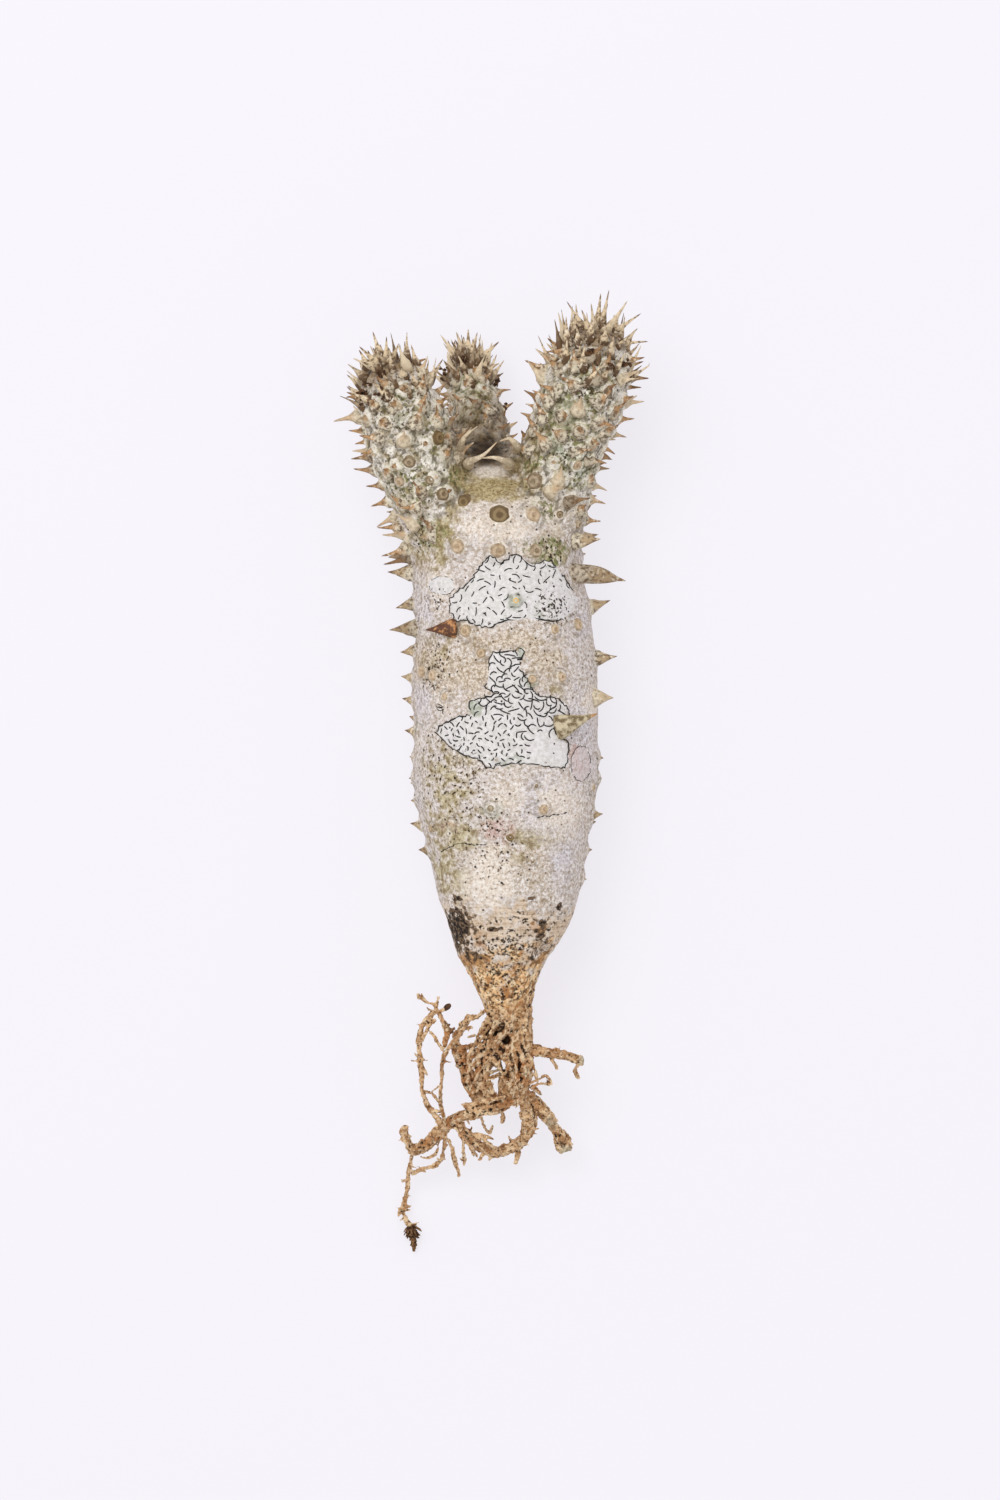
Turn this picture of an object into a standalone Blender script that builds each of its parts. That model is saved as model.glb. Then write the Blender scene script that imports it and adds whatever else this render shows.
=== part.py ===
"""Bare-root pachypodium lying on its back on a flat surface.

+Y runs from the roots to the arms, +X is to the right seen from above and +Z is up from the surface.
The origin is the middle of the plant's footprint. Lengths below are millimetres, scaled by MM.
A stem is a track of stations (x, y, z, radius). A spine stands on a stem at (y, around, length, lean, turn):
around is degrees about the stem from the top, to the right; lean is degrees towards the stem's tip, and
turn, 0 where it is left out, is degrees further round the stem.
"""
import math
import random

import bmesh
import bpy
from mathutils import Vector

MM = 0.001
GAP = 0.3 * MM              # left between pieces that meet
CUT_GROWTH = 1.3            # how much more than the gap a cutter grows, since its faces move in at its edges
GOLDEN_ANGLE = 137.508      # degrees between one spine and the next round a stem

# Trunk
AXIS_HEIGHT = 25.5          # trunk axis above the surface
TRUNK_DEPTH = 0.96          # trunk thickness over its width
TRUNK = [  # x, y, radius
    (3.4, -51.5, 8.4), (3.5, -49, 10.0), (3.3, -44, 12.5), (3.6, -39, 14.6), (4.1, -34, 16.7),
    (4.2, -29, 18.0), (4.2, -21.5, 19.4), (4.0, -14, 20.9), (3.7, -4, 22.5), (3.8, 8, 22.9),
    (3.7, 24, 23.0), (3.1, 36, 21.9), (2.1, 46, 21.3), (1.5, 55, 20.9), (1.2, 62, 20.2),
    (0.8, 67.5, 17.8), (0.5, 72, 13.8), (0.2, 75, 9.0), (0, 76.5, 4.0),
]

# Arms, from inside the shoulder to the tip: x, y, z, radius
ARM_LEFT = [
    (-6.5, 50, 26, 10.4), (-11.4, 62, 28.6, 10.2), (-13.4, 67, 29.8, 10.1), (-16.6, 74, 31, 10.4),
    (-20, 83.3, 33, 10.5), (-22.5, 90.5, 34.6, 9.9), (-24.4, 96, 35.7, 8.7), (-26, 100, 36.6, 6.9),
    (-26.9, 102.5, 37, 4.0),
]
ARM_RIGHT = [
    (7.5, 50, 26, 10.6), (12.6, 62, 28.6, 10.2), (15.6, 74, 31, 9.9), (18.5, 83.3, 33, 9.3),
    (21, 89, 34.2, 9.9), (23.2, 95.5, 35.7, 10.6), (25, 101, 37, 9.6), (26.1, 106.3, 38.3, 8.1),
    (26.6, 110.5, 39.2, 5.2),
]
ARM_MIDDLE = [
    (0, 56, 22.5, 9.0), (-0.6, 68, 20.5, 8.2), (-1.6, 79, 17.8, 7.0), (-3.5, 90.5, 14.2, 6.1),
    (-4.9, 96.5, 12.4, 5.7), (-5.5, 101.5, 11, 4.9), (-5.8, 105.5, 10, 3.2),
]
# Where each arm leaves the trunk piece and where its crown starts, as a share of the track's length
ARM_CUTS = {"left": (0.44, 0.9), "right": (0.38, 0.9), "middle": (0.47, 0.9)}
STUB_JOINT = 0.006          # share of the track left open between an arm and its stub
CROWN_JOINT = 0.007         # and between an arm and its crown
DOME_HEIGHT = 0.35          # how far a rounded end stands out, over the radius there

# Spines that show in outline or face the front: y, around, length, lean
TRUNK_SPINES = [
    (56, -88, 6.5, -8), (51.5, -86, 6.8, 4), (44.5, -84, 5.2, -4), (38.5, -80, 7.0, 8), (32, -84, 4.0, -6),
    (25, -86, 2.2, 0), (18.5, -88, 3.2, 4), (10.5, -85, 2.0, 0), (0.5, -88, 2.3, -8), (-6, -88, 1.7, 0),
    (-12, -86, 2.2, 0), (-18.5, -86, 2.3, 0), (36.3, -42, 6.0, 0, -30), (46.5, -42, 1.2, 0),
    (58, 86, 5.0, 8), (49.5, 84, 10.4, -8), (39.5, 88, 5.8, 6), (28, 80, 5.6, -4), (19.5, 82, 4.8, 2),
    (11.3, 35, 10.8, 14, 50), (4.5, 88, 1.8, 0), (-1, 88, 1.6, 0), (-11, 86, 3.0, 0), (-19.5, 86, 1.7, 0),
    (-26, 86, 1.5, 0), (55.5, 1, 2.4, 0), (55, 27, 2.2, 0), (57, -27, 2.4, 0), (59.5, -53, 3.0, 0),
    (42.8, 11, 1.6, 0), (36.3, -25, 1.6, 0), (30.3, -15, 1.5, 0), (35, 37, 1.8, 0), (35.8, 59, 2.4, 0),
    (23.8, 37, 2.0, 0), (24.3, 22, 1.6, 0), (19.3, -41, 2.0, 0), (-2.8, 19, 1.6, 0), (-8.3, -10, 1.4, 0),
    (-9, 24, 1.6, 0), (-3.5, 73, 2.0, 0), (-15.5, 0, 1.3, 0), (-21.5, 18, 1.4, 0), (23.3, 15, 1.6, 0),
    (16.3, -19, 1.6, 0), (30.5, 10, 1.5, 0), (62.5, 4, 2.4, 0), (61.5, 24, 2.2, 0), (66, -18, 1.8, 0),
]
LEFT_SPINES = [
    (58.5, -92, 7.8, -6), (60.5, -84, 7.6, 2), (63.5, -96, 5.8, 6), (66, -82, 6.2, 8), (68.5, -100, 6.4, 4),
    (72.5, -88, 5.0, 10), (76, -80, 4.4, 8), (79.3, -92, 5.8, 12), (83, -84, 5.4, 8), (86.3, -92, 3.2, 10),
    (89, -84, 4.0, 12), (92.4, -90, 7.3, 12), (86.3, 88, 2.9, 10), (90, 84, 3.0, 12),
    (80.3, -32, 2.6, 6), (74.5, 12, 2.2, 4), (70, 22, 2.6, 0), (83, 18, 2.8, 8),
]
RIGHT_SPINES = [
    (62.5, 92, 3.2, 4), (66, 86, 4.0, 6), (70.8, 90, 4.2, 8), (74.8, 86, 3.9, 10), (79, 94, 3.4, 10),
    (82.5, 88, 3.4, 12), (85.5, 84, 3.4, 12), (88.5, 90, 4.0, 12), (92, 86, 4.0, 12), (96, 90, 4.8, 12),
    (101.3, 90, 5.2, 8), (100, -84, 5.6, 16), (97, -90, 6.0, 14), (95.5, -82, 6.2, 18), (90.5, -88, 4.2, 10),
    (87.5, -84, 3.0, 10), (85, -90, 3.6, 8), (73.3, -32, 2.6, 4), (68.5, -18, 2.0, 0), (79, -6, 2.6, 6),
]
MIDDLE_SPINES = [
    (84, -86, 3.2, 12), (88, -90, 3.4, 14), (92.5, -86, 3.6, 16), (96, -92, 3.6, 18),
    (85.5, 88, 3.4, 12), (90, 86, 3.6, 14), (94.5, 90, 3.6, 16),
]
# The rest spiral round each stem: first y, last y, number, shortest, longest
TRUNK_SPIRAL = (-20, 57, 64, 1.6, 6.0)
LEFT_SPIRAL = (60, 96, 66, 2.0, 3.8)
RIGHT_SPIRAL = (60, 103, 78, 2.0, 3.8)
MIDDLE_SPIRAL = (70, 99, 42, 1.8, 3.2)
SPINE_ROOM = 4.2            # the spiral leaves out a spine nearer than this to one already there
TRUNK_BACK = 78             # the trunk's spiral only fills the side further round than this, in degrees
BELLY = 32                  # spines this near straight down are long enough to carry the trunk
BELLY_LENGTH = 8.0          # before the surface cuts them short
SPINE_SIDES = 4
SPINE_FOOT = 0.75           # radius of a spine's foot, with SPINE_TAPER more for each millimetre of length
SPINE_TAPER = 0.13
SPINE_SINK = 1.2            # depth of a spine's foot inside the skin
LEAST_SPINE = 0.5           # a shorter spine is left out
SURFACE_ROOM = 0.02         # height at which a spine is cut short above the surface
JOINT_ROOM = 2.2            # no spine's foot stands nearer an arm's ends than this
SEEDS = {"trunk": 11, "left": 21, "right": 22, "middle": 23, "clod": 5}

# Tips of the needles in each arm's dried crown
CROWN_TIPS = {
    "left": [
        (-29.9, 110.3, 38), (-26.2, 109.0, 40), (-23, 107.4, 38), (-32.6, 106.4, 37), (-34.6, 103.6, 39),
        (-24, 105.6, 44), (-29, 106, 45), (-20.6, 104, 36), (-28, 107.6, 32), (-32, 102.6, 43.5),
    ],
    "right": [
        (18.8, 117.7, 40), (22.6, 115.6, 43), (27, 119.2, 41), (29.8, 120.5, 42), (34.2, 117.4, 40),
        (37, 115, 41), (20.8, 113, 36), (25, 117, 46.5), (32, 115, 46), (29, 117.6, 35.5), (39, 108.2, 38.5),
    ],
    "middle": [
        (-13.2, 110, 11), (-8.8, 111.5, 12.5), (-3.6, 111.2, 12), (1.9, 108.5, 11.5), (-6, 112, 8),
        (-10, 108.6, 16), (-2.4, 108, 16.4), (-7, 110, 5), (-11, 107, 7),
    ],
}

NEEDLE_HEART = 0.6          # the needles fan out from this share of the crown's length
NEEDLE_START = 0.15         # each starts at this share of the way to its tip
NEEDLE_REACH = 0.85         # and is this share of it long
NEEDLE_FOOT = 1.1           # radius

# Long dry spines in the fork: foot, middle and tip
FORK_SPINES = [
    [(-7.6, 81.5, 38.0), (-6.4, 84, 42.5), (-3.4, 86.4, 44.6)],
    [(-5.6, 77.6, 41.0), (-2.0, 79.2, 44.6), (1.4, 82.4, 45.4)],
    [(4.4, 77.4, 41.8), (1.0, 78.6, 45.0), (-2.2, 78.5, 46.2)],
    [(6.6, 81.6, 38.4), (4.6, 83.4, 40.4), (2.2, 82.8, 41.2)],
]

FORK_SPINE_RADII = (0.9, 0.7, 0.25)

# Roots: x, y, z, radius from where each leaves its parent to its tip
TAPROOT = [
    (3.5, -51.2, 25.0, 8.0), (3.75, -56.5, 24.6, 7.0), (4.1, -61.5, 24, 6.4), (4.1, -69, 23, 6.3),
    (4.0, -75, 22.2, 6.1), (3.6, -79.5, 21.6, 5.2), (3.2, -82, 21.2, 3.4),
]
ROOTS = {
    "root_band": [
        (5.5, -79, 23.5, 2.0), (-0.3, -82.5, 23, 1.9), (-5.8, -85.2, 20.5, 1.9), (-11, -88.7, 17, 1.9),
        (-15, -91.8, 14, 1.8), (-19, -93.6, 12, 1.7), (-21.8, -92.6, 11.6, 1.5), (-22.4, -88.8, 12, 1.2),
    ],
    "root_loop": [
        (8, -79.5, 19.5, 1.9), (10, -85.5, 17, 1.9), (9, -91.5, 14.6, 1.9), (4.2, -94.6, 13, 1.8),
        (-1, -94.6, 13, 1.8), (-4.6, -93.2, 14, 1.6), (-6.6, -90, 15.2, 1.3),
    ],
    "root_lower_right": [
        (7, -77, 20, 2.2), (11.5, -84, 17, 2.1), (15, -88.8, 14.5, 2.0), (18, -92.2, 12.6, 2.4),
        (19.6, -93.6, 12, 2.0),
    ],
    "root_upper_right": [
        (7, -68.8, 23, 1.6), (13, -69.9, 23, 1.4), (18.5, -71, 22, 1.3), (21.8, -72.6, 21, 1.4),
        (21.6, -76, 19.8, 0.9),
    ],
    "root_tiny_loop": [(8, -76.8, 23, 0.8), (11.8, -75.4, 23.4, 0.7), (14.4, -76.6, 22.6, 0.6)],
    "root_woody": [
        (1.5, -80, 17.5, 1.7), (-4.2, -79.9, 17.5, 1.7), (-7.2, -74.5, 19, 1.6), (-9.8, -69.8, 21, 1.5),
        (-8, -65.6, 23, 1.4), (-5.4, -61.4, 24, 1.2), (-2, -58.4, 24.4, 1.1),
    ],
    "root_outer": [
        (-11.8, -88, 17.6, 1.1), (-15.2, -83.2, 18.4, 1.1), (-17.1, -78, 18, 1.1), (-17.5, -72, 18.6, 1.1),
        (-17.5, -67, 20, 1.0), (-16.2, -62.4, 21.6, 1.0), (-14, -60, 22.4, 0.8),
    ],
    "root_inner": [
        (-10.8, -87.4, 18.6, 0.8), (-12.4, -80, 23, 0.8), (-12, -72, 25.2, 0.8), (-9.8, -66.8, 26.4, 0.8),
        (-6.4, -61.8, 27, 0.8), (-0.8, -58, 27.2, 0.8),
    ],
    "root_long": [
        (-19.4, -93.6, 11, 1.1), (-20.4, -98, 7.4, 1.0), (-21.6, -104, 5, 0.9), (-22.4, -109, 3.4, 0.9),
        (-21.4, -112.6, 2.8, 0.8),
    ],
    "root_tuft": [
        (-21.5, -112.2, 2.8, 1.0), (-19.8, -116, 2.7, 1.9), (-19.2, -118, 2.4, 1.6), (-19.4, -120.5, 2, 0.4),
    ],
    "root_joining": [
        (-10.8, -88.8, 16, 1.1), (-12.2, -94.6, 11.4, 1.0), (-15.4, -98.6, 8.6, 1.0), (-20.4, -100.6, 6.4, 0.9),
    ],
    "twig_left": [(-15.8, -61.8, 21.8, 0.6), (-16.6, -58.2, 22.8, 0.5), (-18.6, -55.2, 23.6, 0.4)],
    "twig_hanging": [(-11.2, -91.6, 13.6, 0.8), (-9.2, -95, 12, 0.7), (-8.2, -101, 9.6, 0.5)],
    "twig_side": [(-4.6, -93, 13.6, 0.7), (-6.2, -96, 12.4, 0.6), (-7, -98.6, 11.6, 0.4)],
}
ROOT_SIDES = 6
TRUNK_SIDES = 26
ARM_SIDES = 16
CROWN_SIDES = 12
TAPROOT_SIDES = 14
FORK_SPINE_SIDES = 6
STEM_STEPS = 2              # points to each span of a stem
ROOT_STEPS = 3
CLOD = (-10.6, -64.6, 23, 1.6)    # x, y, z, radius of the soil crumb
CLOD_ROUGHNESS = (0.8, 1.1)


def start_empty():
    for thing in list(bpy.data.objects):
        bpy.data.objects.remove(thing)


def finish_material(name, colour, roughness):
    material = bpy.data.materials.new(name)
    material.use_nodes = True
    shader = material.node_tree.nodes["Principled BSDF"]
    shader.inputs["Base Color"].default_value = (*colour, 1)
    shader.inputs["Roughness"].default_value = roughness
    return material


def track_through(stations, steps):
    """Points of a smooth curve through the stations, each a list of numbers, steps to a span."""
    rows = [list(station) for station in stations]
    first = [2 * a - b for a, b in zip(rows[0], rows[1])]
    last = [2 * a - b for a, b in zip(rows[-1], rows[-2])]
    rows = [first, *rows, last]
    found = []
    for before, start, stop, after in zip(rows, rows[1:], rows[2:], rows[3:]):
        for step in range(steps):
            t = step / steps
            found.append([
                0.5 * (2 * b + (c - a) * t + (2 * a - 5 * b + 4 * c - d) * t ** 2
                       + (3 * b - a - 3 * c + d) * t ** 3)
                for a, b, c, d in zip(before, start, stop, after)
            ])
    found.append(rows[-2])
    return found


def share(track, start, stop):
    """The stretch of a track between two shares of its length, with a point at each end."""
    points = [Vector(row[:3]) for row in track]
    reach = [0.0]
    for a, b in zip(points, points[1:]):
        reach.append(reach[-1] + (b - a).length)
    low, high = start * reach[-1], stop * reach[-1]
    kept = [at_reach(track, reach, low)]
    kept += [row for row, at in zip(track, reach) if low + 0.5 < at < high - 0.5]
    kept.append(at_reach(track, reach, high))
    return kept


def at_reach(track, reach, wanted):
    for index in range(len(track) - 1):
        if wanted <= reach[index + 1] or index == len(track) - 2:
            t = (wanted - reach[index]) / (reach[index + 1] - reach[index])
            return [a + (b - a) * t for a, b in zip(track[index], track[index + 1])]


def heading(track, index):
    before = Vector(track[max(index - 1, 0)][:3])
    after = Vector(track[min(index + 1, len(track) - 1)][:3])
    return (after - before).normalized()


def across(direction):
    """Two unit vectors square to a direction: the one nearest straight up, and the one to its right."""
    up = Vector((0, 0, 1))
    if abs(direction.z) > 0.98:
        up = Vector((0, 1, 0))
    up = (up - direction * up.dot(direction)).normalized()
    return up, direction.cross(up)


def loft(track, sides, depth=1.0, rounded=True):
    """A closed stem: one ring of points extruded along the track, its end drawn in to a dome if rounded."""
    bm = bmesh.new()
    rows = [list(row) for row in track]
    made = bmesh.ops.create_circle(bm, segments=sides, radius=1, cap_ends=False)
    ring = list(made["verts"])
    angles = [math.atan2(v.co.y, v.co.x) for v in ring]
    edges = list(bm.edges)
    bm.faces.new(ring)
    for index, row in enumerate(rows):
        if index:
            grown = bmesh.ops.extrude_edge_only(bm, edges=edges)["geom"]
            edges = [g for g in grown if isinstance(g, bmesh.types.BMEdge) and all(
                v in grown for v in g.verts)]
            ring = follow(ring, grown)
        up, right = across(heading(rows, index))
        for vert, angle in zip(ring, angles):
            side = right * math.cos(angle) + up * (math.sin(angle) * depth)
            vert.co = (Vector(row[:3]) + side * row[3]) * MM
    if rounded:
        tip = bmesh.ops.extrude_edge_only(bm, edges=edges)["geom"]
        ring = follow(ring, tip)
        end = Vector(rows[-1][:3]) + heading(rows, len(rows) - 1) * rows[-1][3] * DOME_HEIGHT
        for vert in ring:
            vert.co = end * MM
        bmesh.ops.remove_doubles(bm, verts=ring, dist=1e-7)
    else:
        bm.faces.new(ring)
    bmesh.ops.recalc_face_normals(bm, faces=list(bm.faces))
    return bm


def follow(ring, grown):
    """The new ring's vertices in the old ring's order."""
    new = [g for g in grown if isinstance(g, bmesh.types.BMVert)]
    matched = []
    for vert in ring:
        for edge in vert.link_edges:
            other = edge.other_vert(vert)
            if other in new:
                matched.append(other)
    return matched


def place_on(track, depth, y, around):
    """The skin's point at y and around degrees, with the outward and forward directions there."""
    index = min(range(len(track)), key=lambda i: abs(track[i][1] - y))
    other = index + (1 if y > track[index][1] else -1)
    other = min(max(other, 0), len(track) - 1)
    span = track[other][1] - track[index][1]
    t = (y - track[index][1]) / span if abs(span) > 1e-9 else 0
    row = [a + (b - a) * t for a, b in zip(track[index], track[other])]
    forward = heading(track, index)
    up, right = across(forward)
    angle = math.radians(around)
    skin = Vector(row[:3]) + (right * math.sin(angle) + up * math.cos(angle) * depth) * row[3]
    outward = (right * math.sin(angle) * depth + up * math.cos(angle)).normalized()
    return skin, outward, forward


def spiral_spines(track, depth, spiral, placed, seed, back=0):
    """Places of the spines that are not listed: a golden-angle spiral up the stem."""
    first, last, number, shortest, longest = spiral
    dice = random.Random(seed)
    taken = [place_on(track, depth, spine[0], spine[1])[0] for spine in placed]
    found = []
    for index in range(number):
        y = first + (last - first) * (index + dice.uniform(-0.3, 0.3)) / number
        around = (index * GOLDEN_ANGLE + dice.uniform(-8, 8) + 180) % 360 - 180
        length = dice.uniform(shortest, longest)
        lean = dice.uniform(-6, 14)
        skin = place_on(track, depth, y, around)[0]
        if abs(around) < back or any((skin - other).length < SPINE_ROOM for other in taken):
            continue
        taken.append(skin)
        found.append((y, around, length, lean))
    return found


def spine_cone(bm, foot, direction, length, radius):
    """A thorn from a foot just under the skin; its tip never passes below the surface underneath."""
    start = foot - direction * SPINE_SINK
    reach = length + SPINE_SINK
    if direction.z < -0.05:
        reach = min(reach, (start.z - SURFACE_ROOM) / -direction.z)
    if reach < SPINE_SINK + LEAST_SPINE:
        return
    made = bmesh.ops.create_cone(bm, segments=SPINE_SIDES, radius1=radius * MM, radius2=0, cap_ends=True,
                                 cap_tris=False, depth=reach * MM)
    turn = Vector((0, 0, 1)).rotation_difference(direction).to_matrix()
    for vert in made["verts"]:
        vert.co = turn @ (vert.co + Vector((0, 0, reach * MM / 2))) + start * MM


def spines_on(track, depth, spines, belly=0):
    """Every spine of one stem in one mesh, to be joined with the stem."""
    bm = bmesh.new()
    for y, around, length, lean, *turn in spines:
        skin, outward, forward = place_on(track, depth, y, around)
        if 180 - abs(around) < belly:
            length, lean = BELLY_LENGTH, 0
        sideways = forward.cross(outward)
        direction = outward + forward * math.tan(math.radians(lean))
        direction += sideways * math.tan(math.radians(sum(turn)))
        spine_cone(bm, skin, direction.normalized(), length, SPINE_FOOT + SPINE_TAPER * length)
    return bm


def new_object(name, bm, material):
    mesh = bpy.data.meshes.new(name)
    bm.to_mesh(mesh)
    bm.free()
    thing = bpy.data.objects.new(name, mesh)
    mesh.materials.append(material)
    bpy.context.scene.collection.objects.link(thing)
    return thing


def combine(thing, other, operation):
    """Join or cut with an exact Boolean, and keep the result as the object's mesh."""
    modifier = thing.modifiers.new("combine", "BOOLEAN")
    modifier.operation = operation
    modifier.solver = "EXACT"
    modifier.use_self = operation == "UNION"
    modifier.object = other
    depsgraph = bpy.context.evaluated_depsgraph_get()
    mesh = bpy.data.meshes.new_from_object(thing.evaluated_get(depsgraph))
    thing.modifiers.clear()
    thing.data = mesh
    bpy.data.objects.remove(other)


def keep_biggest(thing):
    """Delete the loose crumbs that a cut leaves, and merge points that it left on top of each other."""
    bm = bmesh.new()
    bm.from_mesh(thing.data)
    bmesh.ops.remove_doubles(bm, verts=bm.verts, dist=1e-6)
    bmesh.ops.dissolve_degenerate(bm, dist=1e-6, edges=bm.edges)
    groups = []
    left = set(bm.verts)
    while left:
        group = set()
        edge = [left.pop()]
        while edge:
            vert = edge.pop()
            group.add(vert)
            for link in vert.link_edges:
                other = link.other_vert(vert)
                if other in left:
                    left.remove(other)
                    edge.append(other)
        groups.append(group)
    groups.sort(key=len)
    for group in groups[:-1]:
        bmesh.ops.delete(bm, geom=list(group), context="VERTS")
    bm.to_mesh(thing.data)
    bm.free()


def swollen_copy(thing):
    """A copy one gap bigger all over, to cut a neighbour with."""
    bm = bmesh.new()
    bm.from_mesh(thing.data)
    moves = [(vert, vert.normal.copy()) for vert in bm.verts]
    for vert, normal in moves:
        vert.co += normal * GAP * CUT_GROWTH
    mesh = bpy.data.meshes.new("cutter")
    bm.to_mesh(mesh)
    bm.free()
    copy = bpy.data.objects.new("cutter", mesh)
    bpy.context.scene.collection.objects.link(copy)
    copy.hide_render = True
    copy.display_type = "WIRE"
    return copy


def near(one, other, room=1.0 * MM):
    """Whether two objects' boxes come within a little of each other."""
    for axis in range(3):
        a = [corner[axis] for corner in one.bound_box]
        b = [corner[axis] for corner in other.bound_box]
        if min(a) > max(b) + room or min(b) > max(a) + room:
            return False
    return True


def clear_of(thing, others):
    """Cut a gap round every earlier piece that this one reaches into."""
    for other in others:
        bpy.context.view_layer.update()
        if near(thing, other):
            combine(thing, swollen_copy(other), "DIFFERENCE")
    keep_biggest(thing)
    return thing


def full_track(stations, height=None):
    """A stem's stations with the axis height put in where they have none, smoothed."""
    if height is not None:
        stations = [(x, y, height, radius) for x, y, radius in stations]
    return track_through(stations, STEM_STEPS)


def make_trunk(skin):
    """The swollen trunk, the three stubs that the arms stand on, and the trunk's own spines."""
    track = full_track(TRUNK, AXIS_HEIGHT)
    trunk = new_object("trunk", loft(track, TRUNK_SIDES, TRUNK_DEPTH), skin)
    for side, arm in arm_tracks().items():
        stub = new_object("stub", loft(share(arm, 0, ARM_CUTS[side][0]), ARM_SIDES, rounded=False), skin)
        combine(trunk, stub, "UNION")
    spiral = spiral_spines(track, TRUNK_DEPTH, TRUNK_SPIRAL, TRUNK_SPINES, SEEDS["trunk"], TRUNK_BACK)
    bm = spines_on(track, TRUNK_DEPTH, TRUNK_SPINES + spiral, BELLY)
    combine(trunk, new_object("spines", bm, skin), "UNION")
    keep_biggest(trunk)
    return trunk


def arm_tracks():
    return {
        "left": full_track(ARM_LEFT),
        "right": full_track(ARM_RIGHT),
        "middle": full_track(ARM_MIDDLE),
    }


def make_arm(side, listed, spiral, skin):
    """One arm between its stub and its crown, with the spines whose feet stand on that stretch."""
    track = arm_tracks()[side]
    low, high = ARM_CUTS[side]
    body = share(track, low + STUB_JOINT, high)
    arm = new_object(f"arm_{side}", loft(body, ARM_SIDES, rounded=False), skin)
    spines = listed + spiral_spines(track, 1, spiral, listed, SEEDS[side])
    spines = [s for s in spines if body[0][1] + JOINT_ROOM < s[0] < body[-1][1] - JOINT_ROOM]
    combine(arm, new_object("spines", spines_on(track, 1, spines), skin), "UNION")
    keep_biggest(arm)
    return arm


def make_crown(side, tips, dry):
    """The dried tuft at an arm's end: the last of its dome with needles fanned out of it."""
    track = arm_tracks()[side]
    body = share(track, ARM_CUTS[side][1] + CROWN_JOINT, 1)
    crown = new_object(f"crown_{side}", loft(body, CROWN_SIDES), dry)
    heart = Vector(body[0][:3]).lerp(Vector(body[-1][:3]), NEEDLE_HEART)
    bm = bmesh.new()
    for tip in tips:
        way = Vector(tip) - heart
        spine_cone(bm, heart + way * NEEDLE_START, way.normalized(), way.length * NEEDLE_REACH, NEEDLE_FOOT)
    combine(crown, new_object("needles", bm, dry), "UNION")
    keep_biggest(crown)
    return crown


def make_fork_spine(number, points, dry):
    """A long curved dry spine that stands loose in the fork."""
    stations = [(*point, radius) for point, radius in zip(points, FORK_SPINE_RADII)]
    return new_object(f"fork_spine_{number}", loft(track_through(stations, ROOT_STEPS), FORK_SPINE_SIDES), dry)


def make_root(name, stations, cork):
    return new_object(name, loft(track_through(stations, ROOT_STEPS), ROOT_SIDES), cork)


def make_clod(soil):
    x, y, z, radius = CLOD
    bm = bmesh.new()
    bmesh.ops.create_icosphere(bm, subdivisions=2, radius=radius * MM)
    dice = random.Random(SEEDS["clod"])
    for vert in bm.verts:
        vert.co *= dice.uniform(*CLOD_ROUGHNESS)
        vert.co += Vector((x, y, z)) * MM
    return new_object("soil_clod", bm, soil)


def main():
    start_empty()
    skin = finish_material("bark", (0.62, 0.58, 0.5), 0.75)
    dry = finish_material("dry_spine", (0.45, 0.3, 0.19), 0.7)
    cork = finish_material("root_cork", (0.5, 0.34, 0.2), 0.85)
    soil = finish_material("dry_soil", (0.3, 0.2, 0.12), 0.95)

    trunk = make_trunk(skin)
    arms = [
        make_arm("left", LEFT_SPINES, LEFT_SPIRAL, skin),
        make_arm("right", RIGHT_SPINES, RIGHT_SPIRAL, skin),
        make_arm("middle", MIDDLE_SPINES, MIDDLE_SPIRAL, skin),
    ]
    stems = [trunk]
    for arm in arms:
        stems.append(clear_of(arm, stems))
    for side, tips in CROWN_TIPS.items():
        stems.append(clear_of(make_crown(side, tips, dry), stems))
    for number, points in enumerate(FORK_SPINES, start=1):
        stems.append(clear_of(make_fork_spine(number, points, dry), stems))

    taproot = new_object("taproot", loft(track_through(TAPROOT, ROOT_STEPS), TAPROOT_SIDES), cork)
    roots = [clear_of(taproot, [trunk])]
    for name, stations in ROOTS.items():
        roots.append(clear_of(make_root(name, stations, cork), roots))
    clear_of(make_clod(soil), roots)


main()
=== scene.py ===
"""Looks of a bare-root pachypodium lying on its back: bark, thorns, dried crowns, lichen and corky roots.

Lengths are millimetres on the plant's own axes, scaled by MM: +Y runs from the roots to the arms, +X to the
right seen from above, and +Z up from the surface it lies on. A stem is a track of stations (x, y, z, radius).
A spine stands on a stem at (y, around, length, lean, turn): around is degrees about the stem from its top, to
the right; lean tilts it towards the stem's tip, and turn, 0 where it is left out, further round the stem.
"""
import math
import random

import bmesh
import bpy
import numpy as np
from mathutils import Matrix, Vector, noise
from mathutils.bvhtree import BVHTree


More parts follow.
